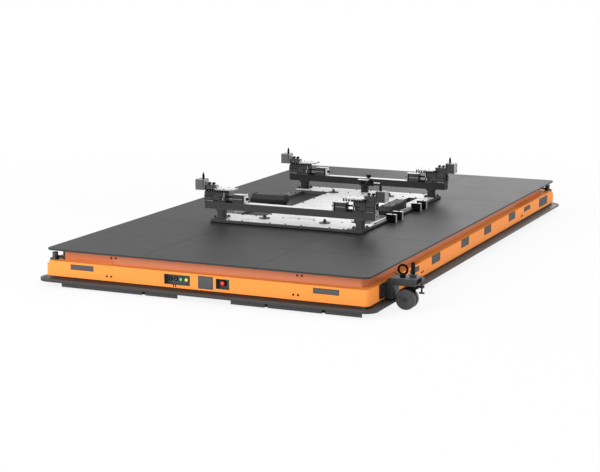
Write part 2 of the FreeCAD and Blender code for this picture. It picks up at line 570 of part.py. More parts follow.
# Swivel casters under the longerons
def make_casters():
    crown_top = "(ledge_top - pad_thick - swivel_tall)"
    leg_x = "(caster_wide / 2 + fork_gap + fork_thick / 2)"
    for side, sx in SIDES.items():
        for end, sy in ENDS.items():
            x = f"{sx} * {CASTER_X}"
            y = f"{sy} * {CASTER_Y}"
            axle_y = f"{y} + caster_trail"
            crown = rod(x, y, f"{crown_top} - fork_crown", "swivel_radius", "fork_crown")
            legs = []
            for s in (-1, 1):
                body = new_body("ForkLeg")
                back = "swivel_radius * 0.8"
                brow = f"{crown_top} - fork_crown"
                leg = [(f"-{back}", brow), ("caster_trail - leg_half", "caster_radius - leg_drop"),
                       ("caster_trail + leg_half", "caster_radius - leg_drop"), (back, brow),
                       (back, crown_top), (f"-{back}", crown_top)]
                pad(body, sketch_on(body, "YZ_Plane", leg), "fork_thick", both=True)
                legs.append(place(body, f"{x} + {s} * {leg_x}", y))
            axle = rod(f"{x} - {leg_x}", axle_y, "caster_radius", "caster_axle", f"2 * {leg_x}", "x")
            node(f"caster_fork_{end}_{side}", fuse(crown, *legs, axle))
            wheel = tread_wheel("caster_radius", "caster_wide", "(caster_axle + fit_gap)", "web_dish",
                                "tyre_edge")
            node(f"caster_wheel_{end}_{side}", place(wheel, x, axle_y, "caster_radius"))


RAIL_TOP = "(deck_top + frame_thick)"
BASE_TOP = "(deck_top + frame_thick + top_thick)"
BEAM_TOP = "(beam_bottom + beam_tall)"
PIN_Y = "(base_long / 2 - pin_end)"
LEFT_RAIL = "(-base_wide / 2 + base_rail)"
RIGHT_RAIL = "(base_wide / 2 - base_rail)"


def window(x0, x1, z, tall):
    """A cutting block over a window of the base, between its front and rear strips."""
    return block(f"(({x0}) + ({x1})) / 2", "(front_strip - rear_strip) / 2", z, f"({x1}) - ({x0})",
                 "base_long - front_strip - rear_strip", tall)


# Fixture base: a frame with panned windows, plates on its strips, centring cones and a rest pad
def make_fixture_base():
    frame = block("0", "0", "deck_top", "base_wide", "base_long", "frame_thick")
    strip_left = f"{LEFT_RAIL} + left_window"
    strip_right = f"{RIGHT_RAIL} - right_window"
    windows = [window(LEFT_RAIL, strip_left, "deck_top + pan_thick", "frame_thick"),
               window(strip_right, RIGHT_RAIL, "deck_top + pan_thick", "frame_thick")]
    plate = block("0", "0", RAIL_TOP, "base_wide - 2 * top_inset", "base_long - 2 * top_inset", "top_thick")
    sides = [window("-base_wide / 2", strip_left, f"{RAIL_TOP} - spill", "top_thick + 2 * spill"),
             window(strip_right, "base_wide / 2", f"{RAIL_TOP} - spill", "top_thick + 2 * spill")]
    fittings = [block("rest_pad_x", "-(base_long / 2 - front_strip - rest_pad_set)", BASE_TOP, "rest_pad_long",
                      "rest_pad_wide", "rest_pad_tall")]
    for sx in (-1, 1):
        for y in ("-(base_long / 2 - cone_front)", "(base_long / 2 - cone_rear)"):
            fittings.append(rod(f"{sx} * cone_x", y, BASE_TOP, "cone_disc", "cone_disc_tall"))
            fittings.append(cone(f"{sx} * cone_x", y, BASE_TOP, "cone_radius", "cone_top", "cone_tall"))
    node("fixture_base", fuse(cut(frame, *windows), cut(plate, *sides), *fittings))


# Crossbeams: a capped box beam welded on two posts with head and foot flanges
def make_crossbeams():
    for end, sign in ENDS.items():
        y = f"{sign} * {PIN_Y}"
        beam = block("0", y, "beam_bottom", "2 * beam_half", "beam_deep", "beam_tall")
        core = block("0", y, "beam_bottom + beam_wall", "2 * (beam_half + spill)", "beam_deep - 2 * beam_wall",
                     "beam_tall - 2 * beam_wall")
        cap = block("0", y, BEAM_TOP, "2 * motor_in - 2 * flange_thick - 2 * joint_gap", "beam_deep", "beam_cap")
        posts = []
        for s in (-1, 1):
            x = f"{s} * post_x"
            posts.append(block(x, y, BASE_TOP, "post_wide", "post_deep", f"beam_bottom - {BASE_TOP}"))
            posts.append(block(x, y, BASE_TOP, "post_foot", "post_foot", "post_foot_tall"))
            posts.append(block(x, y, "beam_bottom - post_head_tall", "post_head", "post_deep", "post_head_tall"))
        node(f"crossbeam_{end}", fuse(cut(beam, core), cap, *posts))


# Slide drives on each crossbeam: guide rail, flanged motor, lead screw, end plate and hand knob
def make_slide_drives():
    screw_z = f"({BEAM_TOP} + screw_up)"
    for end, sign in ENDS.items():
        y = f"{sign} * {PIN_Y}"
        parts = []
        for s in (-1, 1):
            rail = block(f"{s} * (rail_in + beam_half) / 2", y, BEAM_TOP, "beam_half - rail_in", "rail_wide",
                         "rail_tall")
            motor = block(f"{s} * (motor_in + motor_out) / 2", y, BEAM_TOP, "motor_out - motor_in", "motor_deep",
                          "motor_tall")
            flange = block(f"{s} * (motor_in - flange_thick / 2)", y, BEAM_TOP, "flange_thick",
                           "motor_deep + 2 * flange_rise", "motor_tall + flange_rise")
            stop = block(f"{s} * (beam_half + end_thick / 2)", y, "beam_bottom", "end_thick", "beam_deep",
                         "end_top - beam_bottom")
            hole = rod(f"{s} * (beam_half + end_thick / 2) - 2 * end_thick", y, "beam_bottom + beam_tall / 2",
                       "end_hole", "4 * end_thick", "x")
            length = "(beam_half + end_thick + knob_long - motor_out)"
            screw = rod(f"{s} * (motor_out + {length} / 2) - {length} / 2", y, screw_z, "screw_radius", length,
                        "x")
            knob = rod(f"{s} * (beam_half + end_thick + knob_long / 2) - knob_long / 2", y, screw_z,
                       "knob_radius", "knob_long", "x")
            parts.append(fuse(rail, motor, flange, cut(stop, hole), screw, knob))
        node(f"slide_drives_{end}", group(*parts))


def make_comb(sx, y, start):
    """A bar of hanging teeth along the front of a carriage, cut by one row of equal gaps."""
    length = "(comb_count * comb_pitch + comb_gap)"
    front = f"({y} - carriage_deep / 2 - comb_deep / 2)"
    bar = block(f"{sx} * ({start} + {length} / 2)", front, "carriage_top + table_tall - comb_tall", length,
                "comb_deep", "comb_tall")
    gaps = [block(f"{sx} * ({start} + comb_gap * 1.5 + comb_pitch * {i})", front,
                  "carriage_top + table_tall - comb_tall - spill", "comb_gap", "comb_deep + 2 * spill",
                  "comb_tall - comb_web + spill") for i in range(SIZES["comb_count"])]
    return cut(bar, *gaps)


# Pin carriages: a saddle on the rail, a slide table, a combed bar, and an arm with the pin's block
def make_carriages():
    saddle_z = f"({BEAM_TOP} + slide_gap)"
    for end, sy in ENDS.items():
        for side, sx in SIDES.items():
            y = f"{sy} * {PIN_Y}"
            pin = f"{sx} * pin_x"
            middle = f"{sx} * (carriage_in + carriage_out) / 2"
            long = "(carriage_out - carriage_in)"
            saddle = block(middle, y, saddle_z, long, "carriage_deep", f"carriage_top - {saddle_z}")
            channel = block(middle, y, f"{saddle_z} - spill", f"{long} + 2 * spill", "rail_wide + 2 * slide_gap",
                            "rail_tall + spill")
            tunnel = rod(f"{middle} - {long}", y, f"{BEAM_TOP} + screw_up", "screw_radius + slide_gap",
                         f"2 * {long}", "x")
            table = block(f"{sx} * (table_in + table_out) / 2", y, "carriage_top", "table_out - table_in",
                          "table_deep", "table_tall")
            arm = block(f"{sx} * (table_out - spill + pin_x) / 2", y, "carriage_top",
                        "pin_x - table_out + spill", "arm_deep", "arm_tall")
            holder = block(f"{sx} * (pin_x + (block_outer - block_inner) / 2)", y, "block_bottom",
                           "block_inner + block_outer", "block_deep", "block_top - block_bottom")
            bore = rod(pin, y, "pin_seat", "pin_shank", "block_top - pin_seat + spill")
            slit = block(pin, f"{y} + block_deep / 4", "pin_seat", "clamp_slit", "block_deep / 2 + 2 * spill",
                         "block_top - pin_seat + spill")
            body = fuse(cut(saddle, channel, tunnel), table, make_comb(sx, y, f"comb_{side}"), arm, holder)
            shank = rod(pin, y, "pin_seat", "pin_shank", "block_top - pin_seat")
            guide = rod(pin, y, "block_top", "pin_radius", "pin_tip - pin_cone - block_top")
            tip = cone(pin, y, "pin_tip - pin_cone", "pin_radius", "pin_radius / 5", "pin_cone")
            node(f"pin_carriage_{end}_{side}", group(cut(body, bore, slit), fuse(shank, guide, tip)))


def duct(name, x, wide, front, deep):
    """A closed duct with a sloped front, carried by a rail and a foot in the window's pan."""
    body = new_body("Duct")
    top = f"({RAIL_TOP} + duct_tall)"
    side = [(front, RAIL_TOP), (f"{front} + {deep}", RAIL_TOP), (f"{front} + {deep}", top),
            (f"{front} + duct_slope_back", top), (front, f"{top} - duct_slope_up")]
    pad(body, sketch_on(body, "YZ_Plane", side), wide, both=True)
    place(body, x)
    inward = 1 if name == "duct_left" else -1
    foot_x = f"{x} + {inward} * ({wide} - duct_foot) / 2"
    foot = block(foot_x, f"{front} + ({deep}) / 2", "deck_top + pan_thick", "duct_foot", "duct_foot",
                 "frame_thick - pan_thick")
    node(name, fuse(body, foot))


# Clamps, ducts and the rear beam's middle post
def make_fixture_fittings():
    clamps = []
    for y in ("clamp_a", "clamp_b", "clamp_c", "clamp_d"):
        body = block("base_wide / 2 + clamp_wide / 2", y, "deck_top", "clamp_wide", "clamp_long",
                     "clamp_top - deck_top")
        nose = block("base_wide / 2 - clamp_reach / 2", y, RAIL_TOP, "clamp_reach", "clamp_long",
                     f"clamp_top - {RAIL_TOP}")
        clamps.append(fuse(body, nose))
    node("edge_clamps", group(*clamps))
    duct("duct_left", "(-base_wide / 2 - duct_left_over + duct_left_wide / 2)", "duct_left_wide",
         "duct_left_y", "duct_left_deep")
    duct("duct_right", "(base_wide / 2 - duct_right_set - duct_right_wide / 2)", "duct_right_wide",
         "duct_right_y", "duct_right_deep")
    column = block("pedestal_x", PIN_Y, BASE_TOP, "pedestal_wide", "pedestal_wide", f"beam_bottom - {BASE_TOP}")
    face = f"({PIN_Y} - beam_deep / 2)"
    head = block("(head_left + head_right) / 2", f"{face} - head_deep / 2", "head_low", "head_right - head_left",
                 "head_deep", "head_high - head_low")
    lug = block("pedestal_x", f"({face} - head_deep + {PIN_Y}) / 2", "lug_low", "pedestal_wide / 2",
                "beam_deep / 2 + head_deep", "beam_bottom - lug_low")
    bar = block("head_right + head_bar / 2", f"{face} - head_deep / 2", "(head_low + head_high) / 2", "head_bar",
                "head_bar_tall", "head_bar_tall")
    node("centre_pedestal", fuse(column, head, lug, bar))


# Rescue caster plugged into the front right socket
def make_rescue_caster():
    y = f"-{SOCKET_Y}"
    wall = HALF_WIDE
    plate = block(f"{wall} + plate_thick / 2", y, "plate_mid - plate_tall / 2", "plate_thick", "plate_long",
                  "plate_tall")
    tongue = block(f"{wall} - tongue_deep / 2", y, "socket_mid - socket_tall / 2 + tongue_gap", "tongue_deep",
                   "socket_long - 2 * tongue_gap", "socket_tall - 2 * tongue_gap")
    body = new_body("RescueArm")
    under = "(arm_z - arm_thick)"
    profile = [("plate_thick", "leg_bottom"), ("plate_thick + leg_thick", "leg_bottom"),
               ("plate_thick + leg_thick", under), ("arm_reach", under), ("arm_reach", "arm_z"),
               ("plate_thick", "arm_z")]
    solid = pad(body, sketch_on(body, "XZ_Plane", profile), "arm_wide", both=True)

    def is_bend(edge, middle):
        box = solid.Shape.BoundBox
        along = abs(abs(edge.Vertexes[0].Point.y - edge.Vertexes[-1].Point.y) - box.YLength) < 0.01
        outer = abs(middle.x - box.XMin) < 0.01 and abs(middle.z - box.ZMax) < 0.01
        inner = box.XMin + 1 < middle.x < box.XMax - 1 and box.ZMin + 1 < middle.z < box.ZMax - 1
        return along and (outer or inner)
    round_edges(body, solid, is_bend, "arm_corner")
    place(body, wall, y)
    toggle_x = f"({wall} + lug_x)"
    toggle_y = f"({y} + toggle_y)"
    lug = block(toggle_x, f"{y} + arm_wide / 2 + lug_long / 2", under, "lug_wide", "lug_long", "lug_tall")
    jack_x = f"({wall} + jack_x)"
    nut = rod(jack_x, y, "arm_z", "nut_radius", "nut_tall")
    collar = rod(jack_x, y, "arm_z + nut_tall - collar_tall", "collar_radius", "collar_tall")
    bore = rod(jack_x, y, f"{under} - spill", "jack_radius + fit_gap", "arm_thick + nut_tall + 2 * spill")
    # The arm's end is open like a channel
    mouth = block(f"{wall} + arm_reach - mouth_deep / 2 + spill", y, f"{under} + mouth_wall",
                  "mouth_deep + 2 * spill", "arm_wide - 2 * mouth_wall", "arm_thick - 2 * mouth_wall")
    hole = rod(toggle_x, toggle_y, f"{under} - spill", "toggle_radius + fit_gap", "lug_tall + 2 * spill")
    arm = cut(fuse(plate, tongue, body, lug, nut, collar), bore, hole, mouth)
    node("rescue_arm", arm)
    # Lifting eye on its boss
    eye_x = f"({wall} + eye_x)"
    eye_y = f"({y} - eye_y)"
    boss = rod(eye_x, eye_y, "arm_z", "eye_boss", "eye_boss_tall")
    ring = bind(doc.addObject("Part::Torus", "Ring"), Radius1="eye_ring", Radius2="eye_wire")
    ring.Placement = FreeCAD.Placement(Vector(), Rotation(Vector(1, 0, 0), 90))
    place(ring, eye_x, eye_y, "arm_z + eye_mid")
    neck = rod(eye_x, eye_y, "arm_z", "eye_wire * 1.3", "eye_mid - eye_ring")
    node("lifting_eye", fuse(boss, neck, ring))
    shank = rod(jack_x, y, "jack_bottom", "jack_radius", "jack_top - jack_point - jack_bottom")
    point = cone(jack_x, y, "jack_top - jack_point", "jack_radius", "jack_radius / 2", "jack_point")
    node("jack_screw", fuse(shank, point))
    # Caster head: a crown on the screw and one web between twin wheels
    axle_x = f"({jack_x} - rescue_trail)"
    axle_z = "rescue_radius"
    crown = rod(jack_x, y, "crown_bottom", "crown_radius", "jack_bottom - crown_bottom")
    web = block(f"({jack_x} + {axle_x}) / 2", y, f"{axle_z} - rescue_axle * 2", "rescue_trail + rescue_axle * 4",
                "rescue_web", f"crown_bottom - {axle_z} + rescue_axle * 2")
    reach = "(rescue_web / 2 + rescue_gap + rescue_wide)"
    axle = rod(axle_x, f"{y} - {reach}", axle_z, "rescue_axle", f"2 * {reach}", "y")
    node("rescue_fork", fuse(crown, web, axle))
    wheels = []
    for s in (-1, 1):
        disc = tread_wheel("rescue_radius", "rescue_wide", "(rescue_axle + fit_gap)", "web_dish", "tyre_edge")
        disc.Placement = FreeCAD.Placement(Vector(), TURNS["y"])
        disc_y = f"{y} + {s} * (rescue_web / 2 + rescue_gap + rescue_wide / 2)"
        wheels.append(place(disc, axle_x, disc_y, axle_z))
    node("rescue_wheels", group(*wheels))
    stem = rod(toggle_x, toggle_y, "toggle_bottom", "toggle_radius", f"{under} + lug_tall - toggle_bottom")
    bar = rod(f"{toggle_x} - toggle_bar / 2", toggle_y, "toggle_bottom", "toggle_bar_radius", "toggle_bar", "x")
    collar = rod(toggle_x, toggle_y, f"{under} - pad_down", "pad_radius", "pad_tall")
    node("clamp_screw", fuse(stem, bar, collar))


def check_and_write():
    doc.recompute()
    bad = [item.Name for item in doc.Objects if "Invalid" in item.State or "Error" in item.State]
    bad += [name for name, item in NODES.items() if item.Shape.isNull() or not item.Shape.isValid()]
    if bad:
        raise RuntimeError("failed pieces: " + ", ".join(bad))
    os.makedirs("parts", exist_ok=True)
    for name, item in NODES.items():
        item.Shape.exportStep(f"parts/{name}.step")
    print(len(NODES), "nodes written")


make_deck()
make_chassis()
make_straight_skins()
make_corner_skins()
make_bumpers()
make_scanners()
make_operator_panel()
make_inserts()
make_battery()
make_drive_units()
make_casters()
make_fixture_base()
make_crossbeams()
make_slide_drives()
make_carriages()
make_fixture_fittings()
make_rescue_caster()
check_and_write()
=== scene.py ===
import json
import math

import bmesh
import bpy
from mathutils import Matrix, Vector


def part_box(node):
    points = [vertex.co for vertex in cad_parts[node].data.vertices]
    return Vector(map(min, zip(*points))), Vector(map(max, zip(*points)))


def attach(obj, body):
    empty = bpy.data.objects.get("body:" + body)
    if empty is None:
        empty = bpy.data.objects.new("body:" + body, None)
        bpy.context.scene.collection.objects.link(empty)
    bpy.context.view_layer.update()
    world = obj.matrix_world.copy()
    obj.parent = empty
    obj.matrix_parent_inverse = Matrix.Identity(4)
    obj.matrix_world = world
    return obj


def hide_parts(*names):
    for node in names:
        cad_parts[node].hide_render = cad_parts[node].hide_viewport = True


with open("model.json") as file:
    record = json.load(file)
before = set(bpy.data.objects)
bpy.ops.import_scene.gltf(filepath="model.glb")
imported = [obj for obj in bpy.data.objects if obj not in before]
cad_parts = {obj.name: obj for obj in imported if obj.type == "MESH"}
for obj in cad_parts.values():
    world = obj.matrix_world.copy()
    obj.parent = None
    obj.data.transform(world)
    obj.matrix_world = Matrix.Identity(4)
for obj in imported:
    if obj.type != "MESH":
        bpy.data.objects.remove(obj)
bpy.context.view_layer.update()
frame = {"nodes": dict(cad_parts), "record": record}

nodes = frame["nodes"]
bodyOf = {node: body for body, members in frame["record"]["behaviour"]["bodies"].items() for node in members}
ends = {"front": -1, "rear": 1}
sides = {"left": -1, "right": 1}
print("frame loaded:", len(nodes), "nodes")


# Small helpers for node trees

def addNode(tree, kind, place=(0, 0), values=None, **settings):
    # values go into the node's inputs
    made = tree.nodes.new(kind)
    made.location = place
    for name, value in settings.items():
        setattr(made, name, value)
    for label, value in (values or {}).items():
        made.inputs[label].default_value = value
    return made


def link(tree, source, target):
    tree.links.new(source, target)


def wire(tree, *runs):
    # Each run is a node, its output, the next node and that node's input
    for source, output, target, entry in runs:
        tree.links.new(source.outputs[output], target.inputs[entry])


def newGroup(name, inputs, outputs):
    # inputs are labels with their values, None for a vector
    group = bpy.data.node_groups.new(name, "ShaderNodeTree")
    for label, value in inputs.items():
        kind = "NodeSocketVector" if value is None else "NodeSocketFloat"
        made = group.interface.new_socket(name=label, in_out="INPUT", socket_type=kind)
        if value is not None:
            made.default_value = value
    for label in outputs:
        group.interface.new_socket(name=label, in_out="OUTPUT", socket_type="NodeSocketFloat")
    return group, addNode(group, "NodeGroupInput", (-900, 0)), addNode(group, "NodeGroupOutput", (700, 0))


# Shared effects: each is one node group, placed in a material with that material's own values

def makeEdgeWear():
    # Worn patches along the edges, where the rounded normal leaves the plain one
    group, given, result = newGroup("edgeWear", {"Radius": 0.003, "Breakup": 60.0, "Amount": 0.5}, ["Mask"])
    soft = addNode(group, "ShaderNodeBevel", (-650, 100), samples=4)
    sharp = addNode(group, "ShaderNodeNewGeometry", (-650, -100))
    dot = addNode(group, "ShaderNodeVectorMath", (-450, 50), operation="DOT_PRODUCT")
    spread = addNode(group, "ShaderNodeMapRange", (-250, 50), {"From Min": 1.0, "From Max": 0.82})
    coords = addNode(group, "ShaderNodeTexCoord", (-900, -350))
    chips = addNode(group, "ShaderNodeTexNoise", (-450, -300), {"Detail": 6.0})
    cutOff = addNode(group, "ShaderNodeMapRange", (-250, -300), {"From Min": 0.42, "From Max": 0.62})
    both = addNode(group, "ShaderNodeMath", (0, 0), operation="MULTIPLY")
    scaled = addNode(group, "ShaderNodeMath", (250, 0), operation="MULTIPLY", use_clamp=True)
    wire(group, (given, "Radius", soft, "Radius"), (soft, "Normal", dot, 0), (sharp, "Normal", dot, 1),
                (dot, "Value", spread, "Value"), (coords, "Object", chips, "Vector"),
                (given, "Breakup", chips, "Scale"), (chips, "Fac", cutOff, "Value"),
                (spread, "Result", both, 0), (cutOff, "Result", both, 1), (both, "Value", scaled, 0),
                (given, "Amount", scaled, 1), (scaled, "Value", result, "Mask"))
    return group


def makeGrain():
    # Fine surface texture: a height for bump and a slow mottling for colour and roughness
    inputs = {"Fine Scale": 900.0, "Stretch": None, "Mottle Scale": 3.0}
    group, given, result = newGroup("surfaceGrain", inputs, ["Height", "Mottle"])
    coords = addNode(group, "ShaderNodeTexCoord", (-900, -250))
    squeezed = addNode(group, "ShaderNodeVectorMath", (-650, 50), operation="MULTIPLY")
    fine = addNode(group, "ShaderNodeTexNoise", (-400, 50), {"Detail": 3.0})
    slow = addNode(group, "ShaderNodeTexNoise", (-400, -250), {"Detail": 5.0, "Roughness": 0.6})
    wire(group, (coords, "Object", squeezed, 0), (given, "Stretch", squeezed, 1),
                (squeezed, "Vector", fine, "Vector"), (given, "Fine Scale", fine, "Scale"),
                (coords, "Object", slow, "Vector"), (given, "Mottle Scale", slow, "Scale"),
                (fine, "Fac", result, "Height"), (slow, "Fac", result, "Mottle"))
    return group


def makeDust():
    # A thin pale film on faces that look up, thicker in patches
    group, given, result = newGroup("settledDust", {"Patch Scale": 6.0, "Amount": 0.2}, ["Mask"])
    facing = addNode(group, "ShaderNodeNewGeometry", (-650, 100))
    parts = addNode(group, "ShaderNodeSeparateXYZ", (-450, 100))
    upward = addNode(group, "ShaderNodeMapRange", (-250, 100), {"From Min": 0.6, "From Max": 1.0})
    coords = addNode(group, "ShaderNodeTexCoord", (-900, -250))
    patches = addNode(group, "ShaderNodeTexNoise", (-450, -200), {"Detail": 8.0, "Roughness": 0.7})
    both = addNode(group, "ShaderNodeMath", (0, 0), operation="MULTIPLY")
    scaled = addNode(group, "ShaderNodeMath", (250, 0), operation="MULTIPLY", use_clamp=True)
    wire(group, (facing, "Normal", parts, "Vector"), (parts, "Z", upward, "Value"),
                (coords, "Object", patches, "Vector"), (given, "Patch Scale", patches, "Scale"),
                (upward, "Result", both, 0), (patches, "Fac", both, 1), (both, "Value", scaled, 0),
                (given, "Amount", scaled, 1), (scaled, "Value", result, "Mask"))
    return group


def makeSpecks():
    # Small dark chips and drill marks scattered over a plate
    group, given, result = newGroup("darkSpecks", {"Scale": 40.0, "Size": 0.2, "Amount": 0.5}, ["Mask"])
    coords = addNode(group, "ShaderNodeTexCoord", (-900, -250))
    cells = addNode(group, "ShaderNodeTexVoronoi", (-500, 0))
    near = addNode(group, "ShaderNodeMath", (-250, 50), operation="LESS_THAN")
    parts = addNode(group, "ShaderNodeSeparateColor", (-250, -150))
    some = addNode(group, "ShaderNodeMath", (-50, -150), operation="LESS_THAN")
    both = addNode(group, "ShaderNodeMath", (200, 0), operation="MULTIPLY", use_clamp=True)
    wire(group, (coords, "Object", cells, "Vector"), (given, "Scale", cells, "Scale"),
                (cells, "Distance", near, 0), (given, "Size", near, 1), (cells, "Color", parts, "Color"),
                (parts, "Red", some, 0), (given, "Amount", some, 1), (near, "Value", both, 0),
                (some, "Value", both, 1), (both, "Value", result, "Mask"))
    return group


edgeWear = makeEdgeWear()
surfaceGrain = makeGrain()
settledDust = makeDust()
darkSpecks = makeSpecks()
print("shared effects built")


